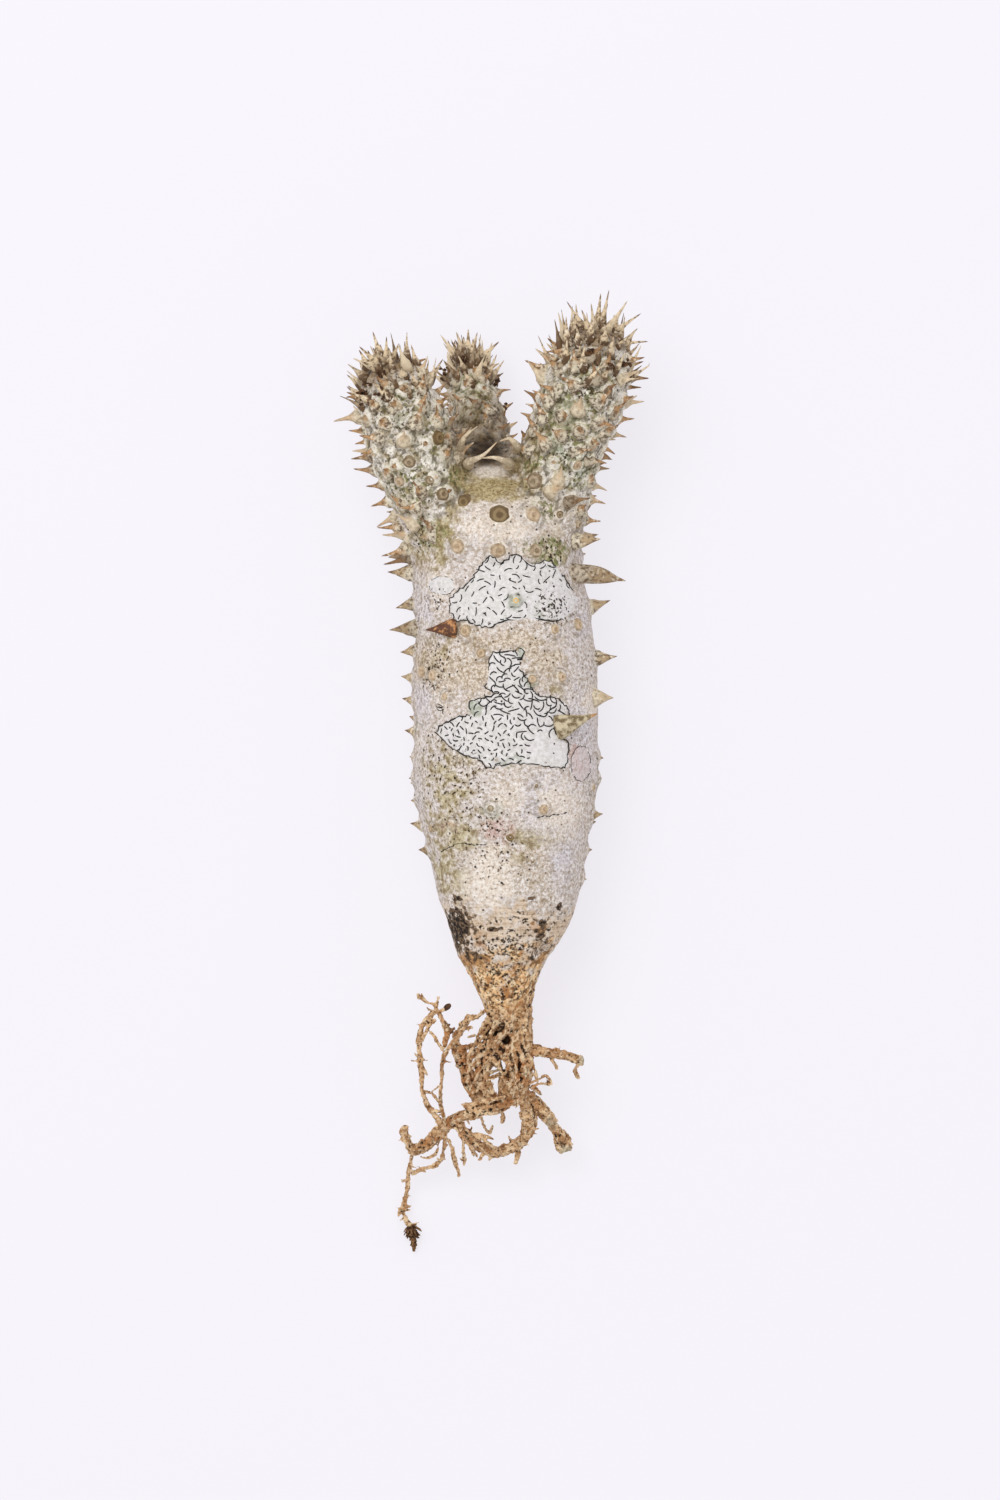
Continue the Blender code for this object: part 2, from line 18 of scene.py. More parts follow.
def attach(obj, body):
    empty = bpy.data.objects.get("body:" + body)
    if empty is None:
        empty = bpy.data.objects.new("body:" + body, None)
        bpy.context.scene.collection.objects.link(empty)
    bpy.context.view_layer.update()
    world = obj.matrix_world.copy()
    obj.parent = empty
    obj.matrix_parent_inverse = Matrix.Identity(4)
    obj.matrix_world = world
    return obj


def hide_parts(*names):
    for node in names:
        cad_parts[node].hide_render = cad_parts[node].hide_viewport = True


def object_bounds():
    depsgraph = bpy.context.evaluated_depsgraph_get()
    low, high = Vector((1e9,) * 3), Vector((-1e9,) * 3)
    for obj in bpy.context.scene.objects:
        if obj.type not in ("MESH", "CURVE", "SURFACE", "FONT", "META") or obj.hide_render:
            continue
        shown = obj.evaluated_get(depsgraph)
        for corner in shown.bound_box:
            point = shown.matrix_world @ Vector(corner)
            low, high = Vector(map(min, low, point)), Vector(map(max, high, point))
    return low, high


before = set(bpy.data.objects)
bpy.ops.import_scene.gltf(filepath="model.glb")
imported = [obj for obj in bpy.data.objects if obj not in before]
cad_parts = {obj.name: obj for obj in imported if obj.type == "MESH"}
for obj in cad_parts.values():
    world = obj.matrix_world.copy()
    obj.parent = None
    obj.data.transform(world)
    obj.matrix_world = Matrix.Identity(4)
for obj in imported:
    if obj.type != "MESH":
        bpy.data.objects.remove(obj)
cad_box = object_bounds()

MM = 0.001
GOLDEN_ANGLE = 137.508
AXIS_HEIGHT = 25.5
TRUNK_DEPTH = 0.96

TRUNK = [  # x, y, radius
    (4.4, -60, 4.6), (4.0, -56, 6.4), (3.6, -51.5, 8.3), (3.5, -48.5, 9.7), (3.3, -44, 12.5), (3.6, -39, 14.6),
    (4.1, -34, 16.7),
    (4.2, -29, 18.0), (4.2, -21.5, 19.4), (4.0, -14, 20.9), (3.7, -4, 22.5), (3.8, 8, 22.9),
    (3.7, 24, 23.0), (3.1, 36, 21.9), (2.1, 46, 21.3), (1.5, 55, 20.9), (1.2, 62, 20.2),
    (0.8, 67.5, 17.8), (0.5, 72, 13.8), (0.2, 75, 9.0), (0, 76.5, 4.0),
]
ARMS = {
    "left": [
        (-6.5, 50, 26, 10.4), (-11.4, 62, 28.6, 10.2), (-13.4, 67, 29.8, 10.1), (-16.6, 74, 31, 10.4),
        (-20, 83.3, 33, 10.5), (-22.5, 90.5, 34.6, 9.9), (-24.4, 96, 35.7, 8.7), (-26, 100, 36.6, 6.9),
        (-26.9, 102.5, 37, 4.0),
    ],
    "right": [
        (7.5, 50, 26, 10.6), (12.6, 62, 28.6, 10.2), (15.6, 74, 31, 9.9), (18.5, 83.3, 33, 9.3),
        (21, 89, 34.2, 9.9), (23.2, 95.5, 35.7, 10.6), (25, 101, 37, 9.6), (26.1, 106.3, 38.3, 8.1),
        (26.6, 110.5, 39.2, 5.2),
    ],
    "middle": [
        (0, 56, 22.5, 9.0), (-0.6, 68, 20.5, 8.2), (-1.6, 79, 17.8, 7.0), (-3.5, 90.5, 14.2, 6.1),
        (-4.9, 96.5, 12.4, 5.7), (-5.5, 101.5, 11, 4.9), (-5.8, 105.5, 10, 3.2),
    ],
}

# Thorns that stand in outline or face up: y, around, length, lean and turn
TRUNK_THORNS = [
    (56, -88, 6.5, -8), (51.5, -86, 6.8, 4), (44.5, -84, 5.2, -4), (38.5, -80, 7.0, 8), (32, -84, 4.0, -6),
    (58, 86, 5.0, 8), (39.5, 88, 5.8, 6), (28, 80, 5.6, -4), (59.8, -50, 4.2, 0, -70),
    (24.5, -86, 3.4, 6), (18.5, -87, 3.0, 4), (10.5, -84, 2.6, 0), (4, -86, 1.4, 0), (-1, -88, 1.6, 0),
    (-6, -87, 1.6, 0),
    (-12, -86, 3.0, 4), (-18.5, -84, 2.4, 0), (4.5, 86, 1.6, 0), (-1, 88, 1.4, 0), (-11, 84, 2.8, -6),
    (-19.5, 86, 1.4, 0), (-26, 86, 1.2, 0),
]
# Worn thorns: y, around, radius of the button that is left, and its tone from 0, dark, to 1, pale as bark
BUTTONS = {
    "trunk": [
        (55.5, 1, 2.2, 0.6), (55, 27, 2.0, 0.5), (57, -27, 2.1, 0.8), (26, -64, 1.8, 0.9), (-13, -63, 1.1, 0.6),
        (36.3, -25, 1.8, 0.8), (30.3, -15, 1.4, 0.7), (35, 35, 1.5, 0.9), (35.8, 57, 1.8, 0.75),
        (23.8, 37, 1.4, 0.9),
        (23.4, 16.5, 1.3, 0.8), (19.3, -41, 1.2, 0.85), (25, -51.5, 1.6, 0.9), (-3, 19.5, 0.7, 0.3),
        (-8.3, -10, 1.2, 0.35), (-9, 25, 1.5, 0.95), (-3.5, 73, 1.2, 0.6), (-15.7, 2, 1.3, 0.05),
        (-21.5, 18, 0.9, 0.2),
        (64.3, 3, 2.7, 0.15), (63.7, 28, 2.3, 0.75), (63.8, -15, 0.5, 0.0), (68.2, -25, 2.0, 0.1),
        (42.7, 10, 1.1, 1.5),
        (30.7, 8, 0.6, 0.5), (3.5, -6, 0.5, 0.5), (-12, -40, 1.1, 0.8),
    ],
    "left": [
        (70, 14, 1.8, 0.3), (80.3, -12, 1.7, 0.35), (74.5, 6, 1.4, 0.4), (83, 38, 2.0, 0.0),
        (64.8, 3, 1.4, 0.35), (76.5, -35, 1.5, 0.6),
    ],
    "right": [
        (73.5, -25, 2.3, 0.4), (67.2, 21, 1.1, 0.3), (65.5, 57, 1.4, 0.5), (80, 30, 1.5, 0.6),
        (68.7, -16, 1.4, 0.05), (62.3, 62, 1.3, 0.0),
    ],
}
ARM_THORNS = {
    "left": [
        (58.5, -92, 7.8, -6), (60.5, -84, 7.6, 2), (63.5, -96, 5.8, 6), (66, -82, 6.2, 8), (68.5, -100, 6.4, 4),
        (72.5, -88, 5.0, 10), (76, -80, 4.4, 8), (79.3, -92, 5.8, 12), (83, -84, 5.4, 8), (86.3, -92, 3.2, 10),
        (89, -84, 4.0, 12), (92.4, -90, 7.3, 12), (86.3, 88, 2.9, 10), (90, 84, 3.0, 12),
        (80.3, -32, 2.6, 6), (74.5, 12, 2.2, 4), (70, 22, 2.6, 0), (83, 18, 2.8, 8),
    ],
    "right": [
        (62.5, 92, 3.2, 4), (66, 86, 4.0, 6), (70.8, 90, 4.2, 8), (74.8, 86, 3.9, 10), (79, 94, 3.4, 10),
        (82.5, 88, 3.4, 12), (85.5, 84, 3.4, 12), (88.5, 90, 4.0, 12), (92, 86, 4.0, 12), (96, 90, 4.8, 12),
        (101.3, 90, 5.2, 8), (100, -84, 5.6, 16), (97, -90, 6.0, 14), (95.5, -82, 6.2, 18),
        (90.5, -88, 4.2, 10), (87.5, -84, 3.0, 10), (85, -90, 3.6, 8), (73.3, -32, 2.6, 4),
        (68.5, -18, 2.0, 0), (79, -6, 2.6, 6),
    ],
    "middle": [
        (84, -86, 3.2, 12), (88, -90, 3.4, 14), (92.5, -86, 3.6, 16), (96, -92, 3.6, 18),
        (85.5, 88, 3.4, 12), (90, 86, 3.6, 14), (94.5, 90, 3.6, 16),
    ],
}
# The rest spiral round each stem: first y, last y, number, shortest and longest
SPIRALS = {
    "trunk": (-20, 57, 64, 1.6, 6.0),
    "left": (60, 99, 104, 3.8, 5.4),
    "right": (60, 106, 124, 3.8, 5.4),
    "middle": (70, 101, 80, 2.0, 3.2),
}
SEEDS = {"trunk": 11, "left": 21, "right": 22, "middle": 23}
SPINE_ROOM = {"trunk": 3.6, "left": 3.1, "right": 3.1, "middle": 2.7}  # the least from one spine to the next
TRUNK_BACK = 98         # the trunk's spiral only fills the side further round than this, in degrees
BELLY = 32              # spines this near straight down carry the trunk
BELLY_LENGTH = 8.0      # before the surface cuts them short
SPINE_SINK = 1.2        # depth of a spine's foot inside the skin
TOP = 48.9              # no spine reaches higher
EDGE = 0.02             # every piece ends this far inside the construction's box


def srgb(red, green, blue):
    """A colour given as screen values from 0 to 255, in the linear values that a shader takes."""
    def one(value):
        value /= 255
        return value / 12.92 if value < 0.04045 else ((value + 0.055) / 1.055) ** 2.4
    return one(red), one(green), one(blue), 1.0


# ---------------------------------------------------------------- stems and places on them

def track_through(stations, steps):
    """Points of a smooth curve through the stations, steps to a span."""
    rows = [list(station) for station in stations]
    first = [2 * a - b for a, b in zip(rows[0], rows[1])]
    last = [2 * a - b for a, b in zip(rows[-1], rows[-2])]
    rows = [first, *rows, last]
    found = []
    for before, start, stop, after in zip(rows, rows[1:], rows[2:], rows[3:]):
        for step in range(steps):
            t = step / steps
            found.append([
                0.5 * (2 * b + (c - a) * t + (2 * a - 5 * b + 4 * c - d) * t ** 2
                       + (3 * b - a - 3 * c + d) * t ** 3)
                for a, b, c, d in zip(before, start, stop, after)
            ])
    found.append(rows[-2])
    return found


def heading(track, index):
    before = Vector(track[max(index - 1, 0)][:3])
    after = Vector(track[min(index + 1, len(track) - 1)][:3])
    return (after - before).normalized()


def across(direction):
    """Two unit vectors square to a direction: the one nearest straight up, and the one to its right."""
    up = Vector((0, 0, 1))
    if abs(direction.z) > 0.98:
        up = Vector((0, 1, 0))
    up = (up - direction * up.dot(direction)).normalized()
    return up, direction.cross(up)


def place_on(track, depth, y, around):
    """The skin's point at y and around degrees, with the outward and forward directions there."""
    index = min(range(len(track)), key=lambda i: abs(track[i][1] - y))
    other = index + (1 if y > track[index][1] else -1)
    other = min(max(other, 0), len(track) - 1)
    span = track[other][1] - track[index][1]
    t = (y - track[index][1]) / span if abs(span) > 1e-9 else 0
    row = [a + (b - a) * t for a, b in zip(track[index], track[other])]
    forward = heading(track, index)
    up, right = across(forward)
    angle = math.radians(around)
    skin = Vector(row[:3]) + (right * math.sin(angle) + up * math.cos(angle) * depth) * row[3]
    outward = (right * math.sin(angle) * depth + up * math.cos(angle)).normalized()
    return skin, outward, forward


def spiral_spines(stem, placed, back=0):
    """Places of the spines that are not listed: a golden-angle spiral up the stem."""
    track, depth = STEMS[stem], DEPTHS[stem]
    first, last, number, shortest, longest = SPIRALS[stem]
    dice = random.Random(SEEDS[stem])
    taken = [place_on(track, depth, spine[0], spine[1])[0] for spine in placed]
    found = []
    for index in range(number):
        y = first + (last - first) * (index + dice.uniform(-0.3, 0.3)) / number
        around = (index * GOLDEN_ANGLE + dice.uniform(-8, 8) + 180) % 360 - 180
        length = dice.uniform(shortest, longest)
        lean, turn = dice.uniform(-6, 14), 0
        if stem != "trunk":
            lean, turn = dice.uniform(5, 55), dice.uniform(-50, 50)
        if back:
            length = min(length, 1.5 + (abs(around) - back) / 12)
        skin = place_on(track, depth, y, around)[0]
        if abs(around) < back or any((skin - other).length < SPINE_ROOM[stem] for other in taken):
            continue
        taken.append(skin)
        found.append((y, around, length, lean, turn))
    return found


STEMS = {"trunk": track_through([(x, y, AXIS_HEIGHT, r) for x, y, r in TRUNK], 3)}
STEMS.update({side: track_through(stations, 3) for side, stations in ARMS.items()})
DEPTHS = {"trunk": TRUNK_DEPTH, "left": 1, "right": 1, "middle": 1}


class Thorn:
    """Where one thorn stands and how it is shaped; shape is thorn or button."""

    def __init__(self, stem, spine, shape="thorn", radius=None, tone=None):
        y, around, length, lean, *turn = spine
        self.stem, self.shape, self.tone = stem, shape, tone
        self.foot, outward, forward = place_on(STEMS[stem], DEPTHS[stem], y, around)
        belly = stem == "trunk" and 180 - abs(around) < BELLY
        if belly:
            length, lean = BELLY_LENGTH, 0
        way = outward + forward * math.tan(math.radians(lean))
        way += forward.cross(outward) * math.tan(math.radians(sum(turn)))
        self.way = way.normalized()
        if self.way.z < -0.05:
            length = min(length, (self.foot.z - 0.15) / -self.way.z)
        rise = max(TOP - self.foot.z, 0.3) / length
        if self.way.z > rise and shape == "thorn":
            level = Vector((self.way.x, self.way.y + 0.25, 0)).normalized()
            self.way = level * math.sqrt(1 - rise ** 2) + Vector((0, 0, rise))
        self.length = max(length, 0.6)
        self.radius = radius or (1.5 + 0.12 * self.length if stem == "trunk" else 1.3 + 0.13 * self.length)


def all_thorns():
    found = []
    for stem, buttons in BUTTONS.items():
        for y, around, radius, tone in buttons:
            found.append(Thorn(stem, (y, around, radius * 0.6, 0), "button", radius, tone))
    for stem, spines in {"trunk": TRUNK_THORNS, **ARM_THORNS}.items():
        found += [Thorn(stem, spine) for spine in spines]
        listed = [*spines, *BUTTONS.get(stem, [])]
        back = TRUNK_BACK if stem == "trunk" else 0
        spiral = spiral_spines(stem, listed, back)
        found += [Thorn(stem, spine) for spine in spiral if not is_buried(stem, spine)]
    return found


def is_buried(side, spine):
    """Whether an arm's spine would stand on a stretch that is buried in the shoulder or in another arm."""
    if side == "trunk":
        return False
    foot = place_on(STEMS[side], 1, spine[0], spine[1])[0]
    for other, track in STEMS.items():
        share = 0.98 if other == "trunk" else 0.96
        if other != side and any((foot - Vector(row[:3])).length < row[3] * share for row in track):
            return True
    return False


# ---------------------------------------------------------------- making meshes

def swept(tracks, roundness):
    """One closed round tube along each track (x, y, z, radius), as a single mesh."""
    curve = bpy.data.curves.new("sweep", "CURVE")
    curve.dimensions = "3D"
    curve.bevel_depth = MM
    curve.bevel_resolution = roundness
    curve.use_fill_caps = True
    for track in tracks:
        spline = curve.splines.new("POLY")
        spline.points.add(len(track) - 1)
        for point, (x, y, z, radius) in zip(spline.points, track):
            point.co = (x * MM, y * MM, z * MM, 1)
            point.radius = radius
    holder = bpy.data.objects.new("sweep", curve)
    mesh = bpy.data.meshes.new_from_object(holder)
    bpy.data.objects.remove(holder)
    bpy.data.curves.remove(curve)
    return mesh


def piece(name, data):
    thing = bpy.data.objects.new(name, data)
    bpy.context.scene.collection.objects.link(thing)
    return thing


def mesh_of(name, bm):
    mesh = bpy.data.meshes.new(name)
    bm.to_mesh(mesh)
    bm.free()
    return mesh


def joined(name, meshes):
    bm = bmesh.new()
    for mesh in meshes:
        bm.from_mesh(mesh)
        bpy.data.meshes.remove(mesh)
    return mesh_of(name, bm)


def shake(dice, amount):
    """A random vector, each part of it between minus and plus the amount."""
    return Vector([dice.uniform(-amount, amount) for _ in range(3)])


def melted(name, meshes, voxel, smoothing, levels=0):
    """The meshes fused into one skin by a voxel remesh, smoothed, and subdivided if levels is given."""
    thing = piece(name, joined(name, meshes))
    remesh = thing.modifiers.new("fuse", "REMESH")
    remesh.mode = "VOXEL"
    remesh.voxel_size = voxel * MM
    smooth = thing.modifiers.new("smooth", "SMOOTH")
    smooth.factor = 0.5
    smooth.iterations = smoothing
    if levels:
        finer = thing.modifiers.new("finer", "SUBSURF")
        finer.levels = finer.render_levels = levels
    depsgraph = bpy.context.evaluated_depsgraph_get()
    mesh = bpy.data.meshes.new_from_object(thing.evaluated_get(depsgraph))
    thing.modifiers.clear()
    thing.data = mesh
    mesh.shade_smooth()
    return thing


def points_of(mesh):
    """Vertex places in millimetres and normals, as arrays."""
    count = len(mesh.vertices)
    places, normals = np.empty(count * 3), np.empty(count * 3)
    mesh.vertices.foreach_get("co", places)
    mesh.vertex_normals.foreach_get("vector", normals)
    return places.reshape(-1, 3) / MM, normals.reshape(-1, 3)


def move_to(mesh, places):
    mesh.vertices.foreach_set("co", (places * MM).ravel())
    mesh.update()


def paint(mesh, name, values):
    """A value for each vertex, which the materials read by name."""
    layer = mesh.attributes.new(name, "FLOAT", "POINT")
    layer.data.foreach_set("value", np.asarray(values, np.float32))


def grain(places, size, seed=0, octaves=2):
    """Smooth noise about -1 to 1 at each place; size is the grain's size in millimetres."""
    shift = Vector((seed * 17.3, seed * 7.7, seed * 3.1))
    return np.array([noise.fractal(Vector(p) / size + shift, 0.9, 2.1, octaves) for p in places])


def ridges(places, size, seed=0):
    """Noise with sharp creases at zero, 0 to about 1."""
    return np.abs(grain(places, size, seed, 3))


def step(values, low, high):
    t = np.clip((values - low) / (high - low), 0, 1)
    return t * t * (3 - 2 * t)


# ---------------------------------------------------------------- areas of the bark, seen from above

# Outlines of the two white lichens: x, y
UPPER_LICHEN = [
    (-0.2, 54.4), (-1.9, 52.4), (-4.3, 49), (-6.7, 46.6), (-8.4, 45.3), (-10.3, 43), (-9.7, 39.3), (-8.6, 38.2),
    (-6.7, 38.2), (-4.5, 37.4), (-2.8, 36.5), (0.2, 36.7), (2.4, 37.7), (8.8, 38.7), (15.3, 38.2), (17.9, 38.6),
    (20.2, 40.4), (21.5, 43.4), (18.9, 47.9), (17.9, 49.6), (16.1, 51.8), (13.6, 53.1), (10.1, 52), (6.2, 54.6),
    (2.4, 52.7),
]
LOWER_LICHEN = [
    (0.4, 30.1), (5.3, 30.4), (7.1, 31.3), (8, 30.8), (7.7, 29), (6.8, 28.1), (7.5, 25.5), (9.2, 23.2),
    (10.2, 21), (12.4, 19.2), (16.4, 18.8), (18.7, 17), (19.3, 14.7), (18.2, 13), (16, 12.1), (15.8, 10.7),
    (17.3, 9), (19.1, 7.6), (18.9, 2.3), (17.3, 1.6), (12.4, 2.2), (8, 2.7), (4.4, 2.5), (0, 1.6), (-1.4, 2.3),
    (-2.8, 3.6), (-6.8, 4.9), (-9.9, 6.7), (-12.1, 8.9), (-13.5, 10.7), (-11.7, 12.5), (-7.7, 14.3),
    (-4.5, 14.8), (-5.4, 17), (-4.8, 18.3), (-2.3, 18.8), (1.7, 20.1), (0, 20.5), (-1.2, 21.9), (-0.5, 25),
    (-0.5, 28.1),
]
BARE_CORNER = (15.2, 5.2, 5.0, 4.4)     # part of the lower lichen with no marks: x, y and half-sizes


def oval(x, y, wide, long):
    """An outline: an ellipse with those half-sizes."""
    angles = [math.tau * index / 20 for index in range(20)]
    return [(x + wide * math.cos(angle), y + long * math.sin(angle)) for angle in angles]


WHITE_SPOT = oval(-12.2, 46.9, 3.2, 2.3)
BEAN = oval(22.4, 2.6, 2.5, 4.4)        # a grey-pink blotch with a dark outline
# Soft areas of the bark, by what grows or shows there: x, y, half-width, half-length and strength
AREAS = {
    "moss": [
        (0.5, 71.2, 8, 4, 1.1), (-9.8, 77, 4, 5, 0.8), (-20, 69, 8, 6, 0.7), (-15, 57, 7, 6, 0.75),
        (14.5, 55, 5, 4, 0.9), (21, 78, 6, 5, 0.95), (19.5, 88, 8, 8, 1.0), (25, 98, 7, 5, 0.8),
        # The moss at x -5, y 92 on the middle arm is partly real moss and partly painted shade, as that arm
        # lies lower, under the other two
        (-22, 90, 10, 12, 0.4), (-5, 92, 7, 14, 1.0), (7, 78, 5, 5, 0.9), (-11, -2, 8, 12, 0.6),
        (-9, -14, 8, 7, 0.75), (-14, 31, 7, 8, 0.35), (-11, -24, 8, 9, 0.7), (-7, -17, 7, 3, 0.8),
        (11, -15.5, 8, 2.6, 0.75), (17, 63, 6, 4, 0.4), (16, 19, 4, 3, 0.4), (4, -20.5, 5, 3, 0.5),
    ],
    "tan": [
        (0, 33.5, 18, 3.6, 0.6), (-14, 27, 8, 8, 0.9), (14, 27, 7, 7, 0.7), (-4, 24, 6, 6, 0.8),
        (8, -21, 9, 5, 0.5), (4, 57, 15, 4, 0.3), (-12, -6, 8, 12, 0.5), (12, 60, 10, 5, 0.4),
        (0, 79, 12, 8, 0.9), (-9, 36, 5, 3, 0.9), (-16, 52, 6, 6, 0.6), (9, -27, 8, 8, 0.4),
        (16, 65, 8, 4, 0.5), (-12, 22, 6, 5, 0.6), (22, 107, 8, 8, 0.6), (-27, 100, 8, 7, 0.5),
        (9, 33, 6, 2.5, 0.8),
    ],
    "pale": [
        (2, 63, 12, 9, 0.8), (-0.5, -26, 7, 10, 1.0), (-12.3, 46.8, 4.2, 3.2, 1.0), (16, -8, 7, 9, 0.8),
        (4, -5, 6, 6, 0.6), (15.5, 65, 6, 6, 0.6), (-11.5, 16.5, 4, 3, 0.5), (26, 18, 4, 5, 0.8),
        (-0.4, 75.2, 5, 2.2, 1.0), (9, 56, 7, 4, 0.5), (-22, 84, 5, 4, 0.5),
    ],
    "char": [
        (-8.4, -37.5, 4.6, 4.6, 1.0), (-8.9, -41.8, 4.0, 4.0, 0.85), (-8.8, -34.4, 3.6, 2.2, 0.7),
        (12.2, -40.5, 3.0, 5.0, 0.55), (12.4, -37, 1.6, 1.6, 0.8), (-8.6, -31, 1.3, 1.1, 0.8),
        (10, -31.2, 1.8, 1.0, 0.6), (17, -33, 1.2, 1.2, 0.7), (0.3, -38.6, 2.6, 0.7, 0.8),
        (2.6, -38.2, 0.5, 0.5, 1.2), (-5.5, -45, 6, 2.6, 0.5), (10.6, -45.6, 2.4, 1.4, 0.6),
        (-12.6, -46.5, 3, 3, 0.5),
    ],
    "specks": [
        (15.3, 41.5, 5.2, 4.8, 1.0), (-13.5, 27.5, 2.8, 7, 0.8), (-9, 0, 9, 12, 0.6), (-6, -10, 8, 8, 0.5),
        (-13.4, 43, 3, 3, 0.7), (1.2, -13.5, 5, 4, 0.6), (14, 55, 5, 4, 0.9), (0, -20, 9, 10, 0.35),
        (20, 78, 6, 5, 0.8), (-20, 72, 8, 9, 0.5), (30, 26, 4, 3, 0.9), (-17.5, 60, 4, 5, 0.8),
        (25, 97, 8, 9, 0.7), (-24, 92, 8, 10, 0.6), (14, 70, 10, 6, 0.3), (4, -43, 11, 4, 0.9),
        (3, -51, 9, 6, 0.5), (-14.5, 24, 2.6, 4, 1.2),
    ],
    "pink": [
        (1.3, -14.2, 4.2, 3, 1.0), (20.8, 4.9, 1.8, 2.4, 1.3), (22.2, 2.4, 2.8, 4.6, 0.55),
        (-10, -12.5, 3, 2, 0.5),
    ],
    "gold": [
        (11.5, -38.4, 1.8, 1.8, 1.2), (11.2, -46, 3, 2, 0.7), (-6, -46.5, 6, 3, 1.0), (-3, -43, 4, 1.5, 0.8),
    ],
    "algae": [
        (17, 82, 6, 6, 1.0), (22, 76, 5, 5, 1.0), (20, 90, 8, 9, 1.0), (-20, 72, 7, 7, 0.7),
        (-13, 84, 6, 8, 0.6), (14.5, 55, 4.5, 4, 1.0), (-15, 60, 5, 5, 0.6), (-5, 95, 5, 8, 1.0),
        (26, 100, 5, 5, 0.5), (10, 78, 4, 4, 0.7), (9, 56, 3, 3, 0.5), (-9, 74, 4, 4, 0.5),
        (-22, 92, 6, 5, 0.5), (14, 66, 4, 4, 0.5),
    ],
    "olive": [
        (0.5, 71.3, 10, 3.8, 1.2), (-8, 74, 4, 5, 0.9), (-13, 60, 6, 4, 0.7), (8, 76, 5, 5, 0.7),
        # The olive at x -4, y 92 on the middle arm is partly real olive crust and partly painted shade, as that
        # arm lies lower
        (-10, 66, 4, 5, 0.5), (19, 86, 6, 7, 0.6), (-4, 92, 6, 9, 0.5), (11, 83, 4, 5, 0.8),
    ],
    "green": [
        (-3.9, 16.3, 1.9, 1.9, 1.0), (9.8, 23.4, 1.6, 1.8, 1.0), (7.3, 30.4, 1.0, 1.4, 0.8),
        (6.0, 42.7, 2.4, 2.4, 1.0), (14, 41, 3.4, 2.6, 0.4), (5, 3.5, 3, 2.5, 0.4), (-1.5, 5, 2, 2, 0.5),
        (17, 82, 5, 4, 0.7), (20, 90, 5, 6, 0.6), (22, 76, 4, 4, 0.6), (-22, 86, 5, 6, 0.3),
        (-6, 98, 4, 5, 0.5), (-18, 12, 2, 2, 0.4), (0.5, -9, 3, 2.5, 0.5),
    ],
    "grey": [
        (14, -7, 8, 9, 1.0), (22, 10, 5, 16, 0.8), (22.5, 38, 4, 8, 0.6), (-17, 42, 4, 10, 0.6),
        (18, -22, 4, 8, 0.7), (-17, 18, 4, 8, 0.6), (-19, -6, 3, 12, 0.5),
    ],
}
# What shows in patches on the sides with no marked areas: the noise's size, seed, low and high
UNMARKED = {
    "moss": (16, 8, -0.1, 0.6), "tan": (14, 9, -0.2, 0.5), "pale": (15, 10, 0.1, 0.6),
    "specks": (12, 12, 0, 0.7),
}
UNMARKED_GREY = 0.7


def soft_area(places, facing, areas):
    """How strongly each place lies in a list of soft areas on the upper side, 0 to 1."""
    found = np.zeros(len(places))
    for x, y, wide, long, strength in areas:
        reach = np.hypot((places[:, 0] - x) / wide, (places[:, 1] - y) / long)
        found = np.maximum(found, strength * np.clip(1.35 - reach, 0, 1))
    return np.clip(found, 0, 1) * facing


def inside(places, outline):
    """Distance inside a closed outline seen from above, negative outside."""
    x, y = places[:, 0], places[:, 1]
    nearest = np.full(len(places), 1e9)
    odd = np.zeros(len(places), bool)
    for (ax, ay), (bx, by) in zip(outline, outline[1:] + outline[:1]):
        t = np.clip(((x - ax) * (bx - ax) + (y - ay) * (by - ay)) / ((bx - ax) ** 2 + (by - ay) ** 2), 0, 1)
        nearest = np.minimum(nearest, np.hypot(x - ax - t * (bx - ax), y - ay - t * (by - ay)))
        crosses = (ay > y) != (by > y)
        with np.errstate(divide="ignore", invalid="ignore"):
            odd ^= crosses & (x < (bx - ax) * (y - ay) / (by - ay) + ax)
    return np.where(odd, nearest, -nearest)


# ---------------------------------------------------------------- bark

def swollen_by(thorns, places):
    """How each thorn lifts the bark round its foot: the lift, and the nearest foot in foot radii."""
    lift = np.zeros_like(places)
    most = np.zeros(len(places))
    nearest = np.full(len(places), float(SWELLING_REACH))
    for thorn in thorns:
        away = places - np.array(thorn.foot)
        reach = np.sqrt((away ** 2).sum(1))
        close = reach < SWELLING_REACH
        ratio = reach[close] / thorn.radius
        if thorn.shape == "button":
            height = 0.5 * (1 - step(ratio, 0.8, 1.7)) - 0.1 * np.exp(-((ratio - 1.5) / 0.3) ** 2)
        elif thorn.stem == "trunk":
            height = 1.0 * np.exp(-(ratio / 1.35) ** 2)
        else:
            height = 1.15 * np.exp(-(ratio / 1.2) ** 2) - 0.15 * np.exp(-((ratio - 1.75) / 0.4) ** 2)
        better = np.abs(height) > np.abs(most[close])
        rows = np.flatnonzero(close)[better]
        most[rows] = height[better]
        lift[rows] = height[better, None] * np.array(thorn.way)
        nearest[close] = np.minimum(nearest[close], ratio)
    return lift, nearest


# The valley between the arms: humps that fill it and slope down to the middle arm
WEBS = [
    [(-9, 66, 31, 7), (0.5, 68, 31.5, 8), (10, 66, 31, 7)],
    [(-1, 66, 29, 11), (-1.2, 72.5, 24.4, 10), (-1.8, 78, 19, 8.6), (-2.4, 83, 15, 7)],
    [(-9, 70, 27, 8), (-12, 80, 27, 7.6)], [(7, 70, 27, 8), (12, 80, 27, 7)],
]


BARK_VOXEL = 1.14
BARK_SMOOTHING = 9
SWELLING_REACH = 9              # no thorn lifts the bark further from its foot than this
NOT_INSIDE = -4                 # the depth inside an outline, for bark that faces away
# Heights in millimetres of what roughens the bark
LUMP, WRINKLE, STRETCH = 0.42, 0.1, 0.07
ARM_RIDGE, ARM_CREASE = 0.3, 0.35
CORK_FLAKE = 0.55
LICHEN_RISE = 0.12
SHADED_RIDGE = 0.5
CALLUS_RISE = 0.5
LEAST_HEIGHT = 0.6              # from the surface up to the bark


